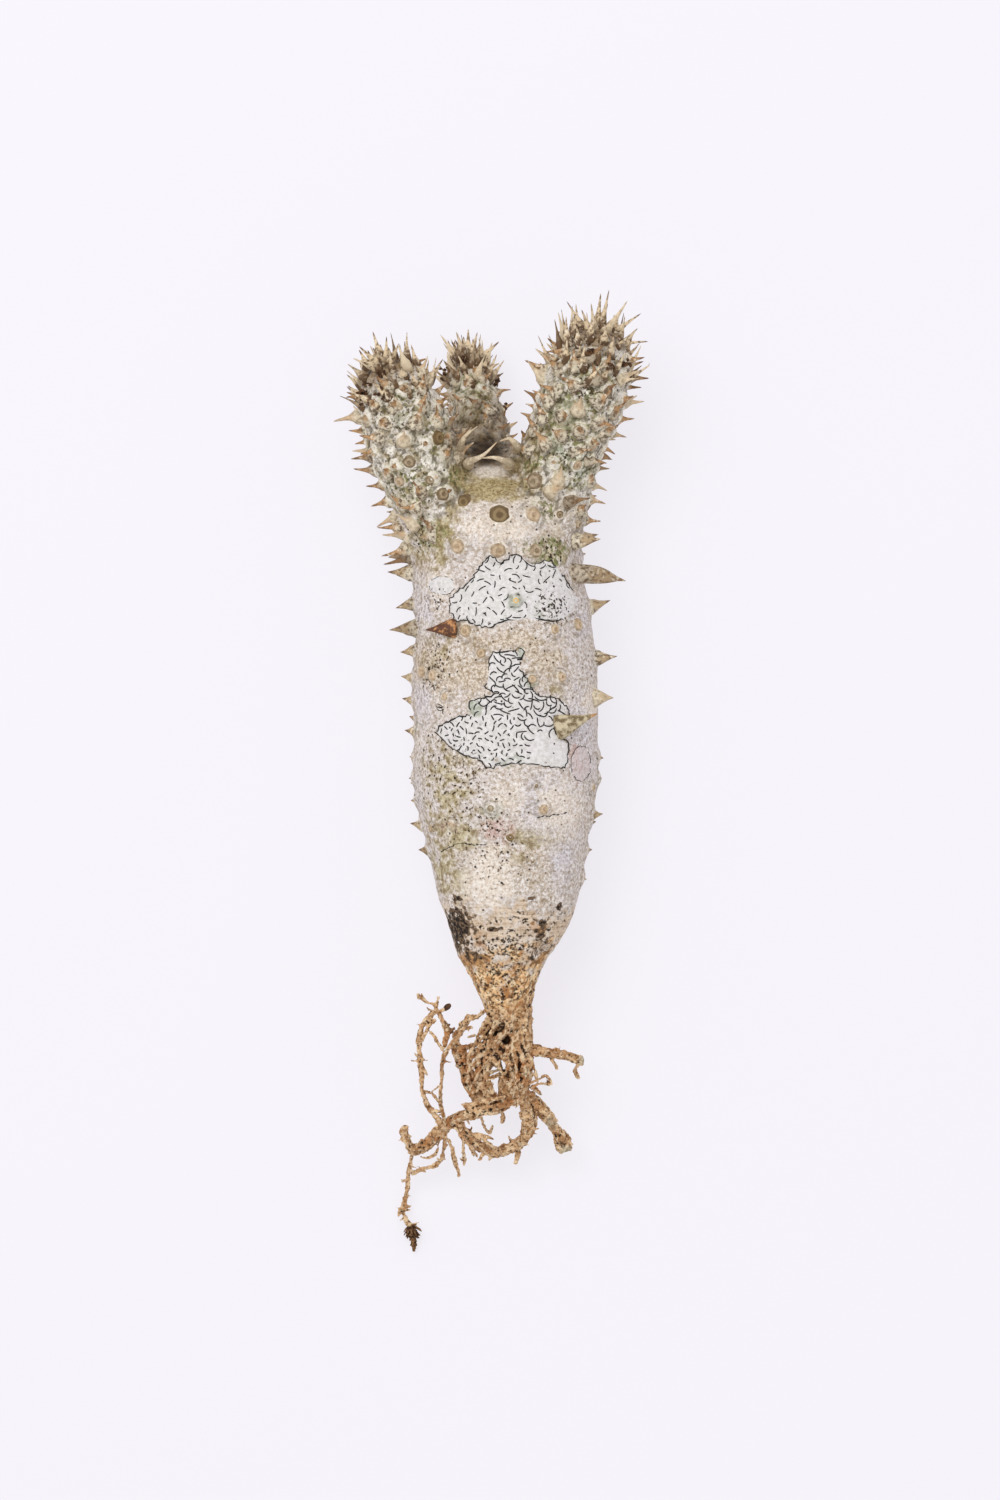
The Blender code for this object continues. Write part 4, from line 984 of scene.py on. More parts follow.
# Each root's branches: a main one, and those that leave it
ROOTS = {
    "root_band": [
        [(5.8, -81, 22.5, 1.7), (1.5, -82.8, 22.3, 1.9), (-2.4, -84, 21.2, 1.8), (-5.8, -85.2, 20, 1.6),
         (-9.3, -87, 18, 1.5), (-12.3, -89.3, 16, 1.5), (-14.9, -91.8, 14, 1.6), (-17.9, -93.8, 12.4, 1.4),
         (-20, -94.2, 11.6, 1.1), (-21.2, -92.4, 11.6, 1.0), (-21.9, -89.9, 11.8, 0.9),
         (-21.6, -88.2, 12, 0.7)],
        [(-9, -88.5, 18, 0.5), (-6.8, -91.5, 17, 0.5), (-4.5, -94, 15.4, 0.45), (-3.6, -96.2, 14, 0.3)],
        [(-6.8, -82.8, 21.4, 0.5), (-3, -82.2, 23.2, 0.6), (1, -81.3, 24.2, 0.7), (3.8, -80.4, 24.6, 0.6)],
        [(-7.4, -82.6, 21.2, 0.3), (-5, -84, 22, 0.5), (-1.5, -85, 22.6, 0.5), (2, -84.4, 23.4, 0.5)],
        [(-17.9, -96.2, 10.8, 0.25), (-16, -96.3, 11, 0.4), (-14, -95.4, 12, 0.3), (-13, -92.5, 14, 0.3)],
        [(-2.5, -86, 19, 0.5), (-1.6, -88.4, 17, 0.4), (-0.4, -90, 15.6, 0.4), (0.6, -88.2, 16, 0.3)],
        [(2.2, -83.6, 20, 0.5), (3, -86, 18, 0.5), (2.6, -87.4, 17, 0.35)],
    ],
    "root_loop": [
        [(4.5, -80.6, 24, 0.9), (6.4, -80.6, 23.4, 1.0), (8, -82.2, 22, 1.3), (9, -85, 19.6, 1.8),
         (9.3, -88.5, 17.4, 1.8), (8, -91.6, 15.6, 1.7), (5, -93.8, 14, 1.6), (1, -94.8, 13.2, 1.5),
         (-2.2, -93.8, 13.6, 1.4), (-4.6, -91.8, 14.6, 1.3), (-6.8, -89.2, 16.2, 1.2), (-8, -87.6, 17.4, 1.0)],
        [(9.8, -79.6, 19.8, 1.2), (11, -82.5, 19, 1.0), (11, -86.5, 17.6, 0.9), (9.8, -90, 16.4, 0.7)],
        [(6.4, -93.2, 13.6, 0.9), (6.8, -95.8, 12.4, 0.8), (5.9, -98, 11.4, 0.5)],
        [(3.6, -94.2, 13.6, 0.6), (0.5, -96, 12.6, 0.5), (-0.6, -97, 12, 0.3)],
        [(-1.4, -93.4, 14, 0.6), (-2.4, -96.2, 13, 0.45), (-3.2, -97, 12.6, 0.3)],
        [(-7, -88.4, 17.4, 0.5), (-5, -90.2, 17.4, 0.55), (-2, -91.4, 16.6, 0.5), (0.6, -93.6, 15, 0.5)],
        [(-5.5, -91, 16, 0.4), (-3.6, -90.2, 16.6, 0.4), (-0.8, -91, 16.4, 0.4), (0.8, -91.6, 16, 0.3)],
        [(-6.4, -90.6, 15.8, 0.5), (-5.6, -93, 15, 0.5), (-4.2, -96, 14, 0.4)],
    ],
    "root_lower_right": [
        [(8.5, -79.4, 20.4, 1.6), (11.9, -83.2, 18.6, 1.6), (14, -85.8, 16.8, 1.55), (16.4, -89, 14.8, 1.35),
         (17.4, -91, 13.6, 1.7), (18.3, -93, 12.6, 2.25), (18.9, -94.2, 12.2, 1.9)],
    ],
    "root_upper_right": [
        [(8, -68.6, 23, 1.7), (11.4, -69.1, 23, 1.6), (14.4, -69.5, 23, 1.3), (18.3, -70.4, 22.2, 1.0),
         (20.8, -71.2, 21.6, 0.9), (22.2, -71.7, 21.2, 1.1), (23.1, -71.9, 21, 0.85)],
        [(14.2, -70.2, 22.6, 0.7), (15.6, -72, 21.6, 0.5), (16.6, -74, 20.6, 0.35)],
        [(21.9, -72.2, 20.8, 0.5), (21.1, -74.2, 20, 0.5), (21.3, -75.2, 19.6, 0.45), (21.9, -76.3, 19, 0.35)],
    ],
    "root_tiny_loop": [
        [(9.5, -77.6, 22.8, 0.5), (11.5, -76.6, 23, 0.4), (13.6, -75.4, 23.4, 0.35), (14.9, -77, 22.8, 0.35),
         (14.2, -77.7, 22.4, 0.3), (11.9, -77.5, 22.4, 0.35), (9.8, -78.8, 22, 0.5)],
        [(10.2, -78, 22, 0.6), (11.8, -79.6, 21, 0.5), (12.4, -80.4, 20.6, 0.3)],
    ],
    "root_woody": [
        [(1.5, -81, 17.5, 1.6), (-2.6, -81.2, 17.5, 1.9), (-4.6, -78, 18, 2.1), (-6.2, -74, 19, 2.0),
         (-7.6, -70.4, 20, 1.8), (-8.6, -67.6, 21, 1.2), (-8.2, -65, 22, 0.9), (-6.6, -62.2, 23.2, 0.9),
         (-5.4, -61, 23.8, 0.7), (-3.6, -60.4, 24.2, 0.4), (-0.8, -58.8, 24.6, 0.4)],
        [(-8.4, -69, 20.6, 1.2), (-5.4, -68.2, 21.4, 0.8), (-3.6, -67.6, 22, 0.5)],
        [(-6, -65.8, 22.4, 0.25), (-4, -65.3, 23, 0.35)],
    ],
    "root_outer": [
        [(-11.6, -88.6, 17.4, 1.0), (-13.6, -86.2, 18, 0.9), (-15.7, -83.2, 18.4, 0.75),
         (-17.2, -79.8, 18, 0.55), (-17.4, -75.9, 18.2, 0.6), (-17.8, -71.6, 18.8, 0.75),
         (-18.1, -67.3, 20, 0.75), (-17.3, -63.4, 21.4, 0.85), (-15.2, -60.6, 22.2, 0.75),
         (-13.9, -59.6, 22.6, 0.6)],
        [(-17.4, -67, 20.8, 0.5), (-15.8, -63.8, 22, 0.5), (-13.8, -61.4, 22.8, 0.5)],
        [(-17.6, -72.6, 18.8, 0.5), (-16.6, -74.4, 19, 0.4), (-16, -75.6, 19, 0.25)],
        [(-17.2, -79.8, 18.2, 0.4), (-15.3, -79.9, 19.4, 0.35), (-13.6, -81.4, 21, 0.4),
         (-12.5, -82.6, 22, 0.4)],
        [(-15, -79.8, 19.6, 0.25), (-12.8, -78, 22.6, 0.3)],
        [(-16, -82.6, 18.6, 0.35), (-14.6, -84.4, 18.8, 0.4), (-12.2, -84.4, 20, 0.35)],
        [(-15.4, -64.5, 21.2, 0.45), (-14.4, -65.4, 21.6, 0.5), (-13.2, -67.4, 22.6, 0.45),
         (-12, -69.2, 24, 0.4)],
    ],
    "root_inner": [
        [(-11.4, -89.3, 17.6, 0.7), (-11.6, -86.7, 18.8, 0.6), (-12.7, -81.5, 22, 0.5),
         (-12.3, -75.9, 24.4, 0.5), (-11.8, -70.7, 25.6, 0.55), (-10.1, -68.1, 26, 0.6),
         (-8.2, -65.2, 26.2, 0.6), (-7, -63.6, 26.4, 0.6), (-5.2, -63.3, 26.6, 0.45), (-4.5, -63.5, 26.6, 0.3)],
    ],
    "root_long": [
        [(-19.6, -94, 11, 0.7), (-20.2, -97.9, 8, 0.5), (-20.8, -100.9, 6.2, 0.65), (-21.2, -104.8, 4.8, 0.65),
         (-21.8, -108.2, 3.6, 0.7), (-22, -110.6, 3.0, 0.55), (-21.2, -112.8, 2.8, 0.6),
         (-20.2, -114, 2.8, 0.7)],
        [(-22.2, -108.6, 3.4, 0.3), (-23, -110, 3.2, 0.45), (-23.3, -111.6, 3, 0.2)],
    ],
    "root_joining": [
        [(-11.4, -90.6, 16, 0.6), (-11.8, -94.6, 12.6, 0.5), (-12.6, -97, 10.4, 0.65), (-14.4, -98.6, 9, 0.6),
         (-17.9, -99.5, 7.4, 0.45), (-20, -100.8, 6.4, 0.5)],
    ],
    "twig_left": [
        [(-11.9, -68.8, 24.8, 0.5), (-11.4, -66.6, 24, 0.7), (-10.9, -64.4, 23.2, 0.9),
         (-12, -61.8, 22.8, 0.8), (-13.4, -59.4, 22.8, 0.65), (-14, -57.9, 22.8, 0.5),
         (-16.2, -56.9, 23.2, 0.4), (-17.4, -56, 23.4, 0.35), (-18.6, -55.1, 23.6, 0.3)],
        [(-13.8, -58, 22.8, 0.4), (-13.4, -56.8, 23, 0.35), (-13.3, -55.6, 23.4, 0.4)],
        [(-14, -59.3, 22.6, 0.3), (-15.6, -59, 22.4, 0.25), (-16.2, -58.2, 22.4, 0.2)],
        [(-12.8, -59.8, 22.8, 0.3), (-12, -59.1, 23, 0.4), (-11, -58.4, 23.2, 0.35)],
    ],
    "twig_hanging": [
        [(-10.8, -91.6, 14.6, 0.5), (-9.7, -94, 12.6, 0.45), (-9.2, -96.5, 11.6, 0.6),
         (-8.6, -98.8, 10.6, 0.6), (-8, -100.8, 9.8, 0.4), (-8.2, -101.4, 9.6, 0.25)],
    ],
    "twig_side": [
        [(-7.8, -88, 18.6, 0.55), (-7, -92, 16.4, 0.45), (-6.9, -96, 14, 0.4), (-6.8, -98.3, 12.8, 0.25)],
    ],
}
ROOTLETS = {"root_band": 22, "root_loop": 34, "root_lower_right": 3, "root_upper_right": 4, "root_woody": 8,
            "root_outer": 14, "root_inner": 9, "root_long": 16, "root_joining": 8, "twig_left": 6,
            "twig_hanging": 2, "twig_side": 2, "root_tiny_loop": 1}
WASHED = [  # pale ends of cut roots: x, y, half-width, half-length and strength
    (23.2, -71.4, 1.3, 1.4, 0.8), (18.9, -94.6, 2.2, 1.2, 0.8), (14.8, -87.6, 1.8, 1.8, 0.5),
]
STAINS = [  # brown stretches
    (-6, -73, 5, 8, 0.9), (8, -74, 4.4, 5.5, 1.0), (4, -67, 3, 2.4, 0.7), (-15, -92, 5, 3, 0.6),
    (3, -82, 5, 2.5, 0.6),
    (-11, -64, 2.2, 4, 0.8), (12, -80, 3, 3, 0.8), (15, -69.6, 4, 1.6, 0.7), (-8, -91, 3, 2, 0.6),
    (-21, -109, 2, 4, 0.6),
    (-10, -87, 3, 1.6, 0.9), (16, -89, 2.4, 3, 0.5),
]
ROOT_VOXEL = 0.24
TAPROOT_VOXEL = 0.29
TUFT_VOXEL = 0.13
BUD_VOXEL = 0.15
CLOD_VOXEL = 0.2
TUFT_HAIRS = 120
TUFT_STEM = [
    (-20.4, -113.4, 2.8, 0.6), (-20, -115, 2.6, 0.6), (-19.6, -118, 2.2, 0.5), (-19.4, -120.3, 1.6, 0.4),
]
BUD = [(-12.0, -59.1, 23, 0.35), (-11.3, -58.6, 23.2, 0.7), (-10.6, -58, 23.4, 0.68), (-10.1, -57.6, 23.4, 0.3)]
THICK = 1.05                # a root with a larger radius gets thick strands of loose cork
ROOTLET_STEPS = 5
STRAND_STEPS = 11


def hollowness(mesh, rounds):
    """How far each vertex lies below the mean of its surroundings, in millimetres; crests are negative."""
    places, normals = points_of(mesh)
    edges = np.empty(len(mesh.edges) * 2, int)
    mesh.edges.foreach_get("vertices", edges)
    a, b = edges.reshape(-1, 2).T
    count = np.bincount(np.concatenate([a, b]), minlength=len(places))[:, None]
    mean = places.copy()
    for _ in range(rounds):
        total = np.zeros_like(mean)
        for axis in range(3):
            total[:, axis] = np.bincount(a, mean[b, axis], len(mean)) + np.bincount(b, mean[a, axis], len(mean))
        mean = total / np.maximum(count, 1)
    return ((mean - places) * normals).sum(1)


def shaky(track, dice, wander, swell):
    """A track whose points wander a little and whose girth changes, as a root's does."""
    found = []
    for index, (x, y, z, radius) in enumerate(track):
        fade = min(1, index / 2, (len(track) - 1 - index) / 2)
        found.append((
            x + dice.uniform(-wander, wander) * fade,
            y + dice.uniform(-wander, wander) * fade,
            max(z + dice.uniform(-wander, wander) * fade, radius + 0.1),
            radius * dice.uniform(1 - swell, 1 + swell),
        ))
    return found


def winding(track, dice, girth, width):
    """A strand of loose cork that winds along a root's surface."""
    angle, drift = dice.uniform(0, 6.28), dice.uniform(-0.35, 0.35)
    start = dice.randrange(0, max(len(track) - 6, 1))
    stop = min(len(track), start + dice.randrange(5, 16))
    found = []
    for index in range(start, stop):
        x, y, z, radius = track[index]
        up, right = across(heading(track, index))
        angle += drift + dice.uniform(-0.25, 0.25)
        out = (right * math.cos(angle) + up * math.sin(angle)) * radius * girth
        found.append((x + out.x, y + out.y, max(z + out.z, 0.5), width * dice.uniform(0.6, 1.2)))
    return found


def rootlet(track, dice, length):
    """A thin side root from somewhere on a root's surface, bending as it goes."""
    index = dice.randrange(1, len(track) - 1)
    x, y, z, radius = track[index]
    up, right = across(heading(track, index))
    angle = dice.uniform(0, 6.28)
    way = right * math.cos(angle) + up * math.sin(angle) + heading(track, index) * dice.uniform(-0.8, 0.8)
    point = Vector((x, y, z)) + way.normalized() * radius * 0.6
    found = []
    for stage in range(ROOTLET_STEPS + 1):
        found.append((point.x, point.y, max(point.z, 0.5), 0.36 - 0.2 * stage / ROOTLET_STEPS))
        way = (way.normalized() + shake(dice, 0.5)).normalized()
        point = point + way * length / ROOTLET_STEPS
    return found


def weather(thing, lumps, flakes, seed):
    """Roughens a root's cork with lumps and flakes, and records its creases for the colour."""
    mesh = thing.data
    places, normals = points_of(mesh)
    flaked = ridges(places, 0.9, seed)
    height = lumps * grain(places, 2.6, seed + 1) + flakes * (flaked - 0.35)
    places = places + normals * height[:, None]
    places[:, 2] = np.maximum(places[:, 2], 0.05)
    move_to(mesh, places)
    paint(mesh, "pit", hollowness(mesh, 12))
    paint(mesh, "flake", flaked)
    paint(mesh, "pale", soft_area(places, 1, WASHED))
    paint(mesh, "stain", soft_area(places, 1, STAINS))


def make_root(name):
    dice = random.Random(name)
    tracks = []
    for stations in ROOTS[name]:
        track = track_through(stations, 7)
        thick = stations[1][3] > THICK
        slimmer = 0.82 if thick else 0.9
        tracks.append([(x, y, z, radius * slimmer) for x, y, z, radius in shaky(track, dice, 0.16, 0.2)])
        windings = round(len(track) / (2.2 if thick else 5))
        tracks += [winding(track, dice, 0.95, 0.42 if thick else 0.24) for _ in range(windings)]
    main = track_through(ROOTS[name][0], 7)
    tracks += [rootlet(main, dice, dice.uniform(0.9, 2.6)) for _ in range(ROOTLETS[name])]
    root = melted(f"{name}_cork", [swept(tracks, 2)], ROOT_VOXEL, 1)
    weather(root, 0.16, 0.24, len(name))
    return root


def make_taproot():
    """The corky stub: a core, strands of loose bark fanned down its left side, and flakes all over."""
    dice = random.Random(77)
    core = track_through(TAPROOT_CORE, 5)
    tracks = [[(x, y, z, radius - 0.3) for x, y, z, radius in shaky(core, dice, 0.15, 0.03)]]
    for ribbon in TAPROOT_RIBBONS:
        tracks.append(shaky(track_through(ribbon, 5), dice, 0.2, 0.3))
    window_x, window_y, clear = WINDOW
    for index in range(TAPROOT_STRANDS):
        fan = index % 2 == 0
        reach = dice.uniform(-5.2, 2.5) if fan else dice.uniform(2, 10)
        front = dice.uniform(-1, 1)
        top, length = dice.uniform(-59, -66), dice.uniform(8, 18)
        rows = []
        wander = 0
        for stage in range(STRAND_STEPS + 1):
            t = stage / STRAND_STEPS
            y = top - length * t
            wander += dice.uniform(-0.5, 0.5)
            middle = 4.5 + (reach - 4.5) * min(1, (0.25 + 0.9 * t)) + wander
            depth = front * (4.4 - 0.25 * abs(middle - 5))
            if not fan:
                depth = math.copysign(math.sqrt(max(4.6 ** 2 - (middle - 6.3) ** 2, 0.5)), front)
            away = middle - window_x
            if abs(away) < clear and abs(y - window_y) < clear:
                middle = window_x + math.copysign(clear, away)
            rows.append((middle, max(y, -82.3), 23.4 + depth - 1.5 * t, dice.uniform(0.3, 0.55)))
        tracks.append(rows)
    root = melted("taproot_cork", [swept(tracks, 2)], TAPROOT_VOXEL, 1)
    mesh = root.data
    places, normals = points_of(mesh)
    hole_x, hole_y, hole = KNOT_HOLE
    reach = np.hypot(places[:, 0] - hole_x, places[:, 1] - hole_y) / hole
    places[:, 2] -= 2.2 * (1 - step(reach, 0.6, 1.15)) * (normals[:, 2] > 0)
    move_to(mesh, places)
    weather(root, 0.22, 0.42, 5)
    return root


def make_tuft():
    """The bushy end of the long root: fine dark rootlets in a wedge that hangs from one point."""
    dice = random.Random(9)
    tracks = [list(TUFT_STEM)]
    for _ in range(TUFT_HAIRS):
        t = dice.random() ** 1.3
        x, y, z = -20.4 + 1.0 * t, -113.4 - 5.8 * t, 2.7 - 0.9 * t
        side = dice.uniform(-0.4, 1)
        length = (1 - t) * 3.4 + 0.6
        way = Vector((side, -0.2 - 0.5 * dice.random(), dice.uniform(-0.4, 0.55))).normalized() * length
        way *= dice.uniform(0.5, 1)
        knee = Vector((x, y, z)) + way * 0.5 + Vector((0, dice.uniform(-0.25, 0.25), 0))
        end = knee + way * 0.4 + Vector((dice.uniform(-0.3, 0.3), -0.3, 0))
        tracks.append([(x, y, z, 0.24), (*knee, 0.22), (*end, 0.15)])
    for row in tracks:
        row[:] = [(x, max(y, -120.4), max(z, 0.35), radius) for x, y, z, radius in row]
    tuft = melted("root_tuft_hairs", [swept(tracks, 1)], TUFT_VOXEL, 0)
    weather(tuft, 0.02, 0.05, 3)
    return tuft


def make_bud():
    """A dark broken bud beside the left twig."""
    bud = melted("root_bud", [swept([track_through(BUD, 5)], 3)], BUD_VOXEL, 2)
    weather(bud, 0.1, 0.1, 2)
    return bud


def make_clod():
    """The crumb of earth held where the twigs meet."""
    dice = random.Random(5)
    lumps = []
    for _ in range(9):
        x, y, z = dice.gauss(-10.6, 0.35), dice.gauss(-64.3, 0.8), dice.gauss(23.2, 0.35)
        first, last = dice.uniform(0.5, 0.8), dice.uniform(0.4, 0.75)
        lumps.append([(x, y, z, first), (x + 0.3, y - 0.4, z + 0.1, last)])
    clod = melted("soil_clod_crumb", [swept(lumps, 3)], CLOD_VOXEL, 1)
    weather(clod, 0.25, 0.3, 8)
    return clod


# ---------------------------------------------------------------- node sheets

class Sheet:
    """Short ways to place and join nodes on one material's or group's sheet."""

    def __init__(self, tree):
        self.tree = tree

    def node(self, kind, wired=None, **settings):
        """A node with its settings; wired gives its inputs by name or number, as values or as sockets."""
        made = self.tree.nodes.new(kind)
        for name, value in settings.items():
            setattr(made, name, value)
        for name, value in (wired or {}).items():
            self.wire(made.inputs[name], value)
        return made

    def wire(self, socket, value):
        if isinstance(value, bpy.types.NodeSocket):
            self.tree.links.new(value, socket)
        else:
            socket.default_value = value

    def sum(self, operation, a, b=0.0):
        return self.node("ShaderNodeMath", {0: a, 1: b}, operation=operation).outputs[0]

    def plus(self, a, b):
        return self.sum("ADD", a, b)

    def both(self, a, b):
        return self.sum("MULTIPLY", a, b)

    def centred(self, value):
        """A value from 0 to 1, moved to lie about zero."""
        return self.sum("SUBTRACT", value, 0.5)

    def ramp(self, value, low, high, start=0.0, stop=1.0):
        """A smooth step of a value from low to high."""
        wired = {"Value": value, "From Min": low, "From Max": high, "To Min": start, "To Max": stop}
        return self.node("ShaderNodeMapRange", wired, interpolation_type="SMOOTHSTEP").outputs["Result"]

    def blend(self, mask, below, above):
        """Two colours mixed by a mask; a colour is a socket, or screen values from 0 to 255."""
        made = self.node("ShaderNodeMix", data_type="RGBA")
        for name, value in (("Factor", mask), ("A", below), ("B", above)):
            socket = next(s for s in made.inputs if s.name == name and s.enabled)
            self.wire(socket, srgb(*value) if isinstance(value, tuple) else value)
        return next(s for s in made.outputs if s.enabled)

    def noise(self, place, size, detail, rough):
        """Noise whose grains measure about size, in the units of place."""
        wired = {"Vector": place, "Scale": 0.5 / size, "Detail": detail, "Roughness": rough}
        return self.node("ShaderNodeTexNoise", wired).outputs["Fac"]

    def attribute(self, name):
        return self.node("ShaderNodeAttribute", attribute_name=name).outputs["Fac"]

    def stretched(self, place, factors):
        return self.node("ShaderNodeVectorMath", {0: place, 1: factors}, operation="MULTIPLY").outputs[0]


def new_group(name, numbers, output):
    """An empty shader group that takes a place and the named numbers; its sheet, inputs and output node."""
    tree = bpy.data.node_groups.new(name, "ShaderNodeTree")
    tree.interface.new_socket("Place", in_out="INPUT", socket_type="NodeSocketVector")
    for socket in numbers:
        tree.interface.new_socket(socket, in_out="INPUT", socket_type="NodeSocketFloat")
    tree.interface.new_socket(output, in_out="OUTPUT", socket_type="NodeSocketFloat")
    sheet = Sheet(tree)
    given = sheet.node("NodeGroupInput").outputs
    result = sheet.node("NodeGroupOutput").inputs
    return tree, sheet, given, result


def make_dots_group():
    """Round specks strewn at a spacing: only a share of the cells holds one."""
    tree, sheet, given, result = new_group("dots", ("Spacing", "Radius", "Share"), "Mask")
    scale = sheet.sum("DIVIDE", 1.0, given["Spacing"])
    cells = sheet.node("ShaderNodeTexVoronoi", {"Vector": given["Place"], "Scale": scale, "Randomness": 1.0})
    chance = sheet.node("ShaderNodeSeparateColor", {"Color": cells.outputs["Color"]}).outputs[0]
    held = sheet.sum("LESS_THAN", chance, given["Share"])
    radius = sheet.both(given["Radius"], scale)
    edge = sheet.both(radius, 0.6)
    near = sheet.node("ShaderNodeMapRange", {
        "Value": cells.outputs["Distance"], "From Min": edge, "From Max": radius, "To Min": 1.0, "To Max": 0.0,
    }).outputs["Result"]
    sheet.wire(result["Mask"], sheet.both(held, near))
    return tree


def make_patches_group():
    """Soft ragged patches: noise cut between two levels."""
    tree, sheet, given, result = new_group("patches", ("Size", "Low", "High"), "Mask")
    scale = sheet.sum("DIVIDE", 0.5, given["Size"])
    wired = {"Vector": given["Place"], "Scale": scale, "Detail": 4.0, "Roughness": 0.62}
    value = sheet.node("ShaderNodeTexNoise", wired).outputs["Fac"]
    wired = {"Value": value, "From Min": given["Low"], "From Max": given["High"]}
    sheet.wire(result["Mask"], sheet.node("ShaderNodeMapRange", wired).outputs["Result"])
    return tree


def make_crust_group():
    """The height of a dry crust: fine sand, with wider flakes under it."""
    tree, sheet, given, result = new_group("crust", ("Sand", "Flake"), "Height")
    fine = sheet.noise(given["Place"], 0.16, 3.0, 0.6)
    wide = sheet.noise(given["Place"], 0.9, 3.0, 0.6)
    creases = sheet.sum("ABSOLUTE", sheet.centred(wide))
    height = sheet.plus(sheet.both(fine, given["Sand"]), sheet.both(creases, given["Flake"]))
    sheet.wire(result["Height"], height)
    return tree


GROUPS = {"dots": make_dots_group(), "patches": make_patches_group(), "crust": make_crust_group()}


class Finish(Sheet):
    """A material: its sheet, with the plant's millimetre places ready and a colour built up layer on layer."""

    def __init__(self, name, roughness=0.85, specular=0.25):
        self.material = bpy.data.materials.new(name)
        self.material.use_nodes = True
        super().__init__(self.material.node_tree)
        self.shader = self.tree.nodes["Principled BSDF"]
        self.shader.inputs["Roughness"].default_value = roughness
        self.shader.inputs["Specular IOR Level"].default_value = specular
        own = self.node("ShaderNodeTexCoord").outputs["Object"]
        self.place = self.node("ShaderNodeVectorMath", {0: own, "Scale": 1 / MM}, operation="SCALE").outputs[0]
        self.colour = None

    def placed(self, group, wired):
        made = self.node("ShaderNodeGroup")
        made.node_tree = GROUPS[group]
        for name, value in {"Place": self.place, **wired}.items():
            self.wire(made.inputs[name], value)
        return made.outputs[0]

    def dots(self, spacing, radius, share):
        return self.placed("dots", {"Spacing": spacing, "Radius": radius, "Share": share})

    def patches(self, size, low, high):
        return self.placed("patches", {"Size": size, "Low": low, "High": high})

    def over(self, mask, paint, strength=None):
        """Lays a colour over the colour so far, where the mask is."""
        if strength is not None:
            mask = self.both(mask, strength)
        self.colour = self.blend(mask, self.colour, paint)

    def finish(self, sand, flake, depth):
        self.wire(self.shader.inputs["Base Color"], self.colour)
        height = self.placed("crust", {"Sand": sand, "Flake": flake})
        bump = self.node("ShaderNodeBump", {"Height": height, "Distance": depth * MM, "Strength": 1.0})
        self.wire(self.shader.inputs["Normal"], bump.outputs["Normal"])
        return self.material


# ---------------------------------------------------------------- finishes

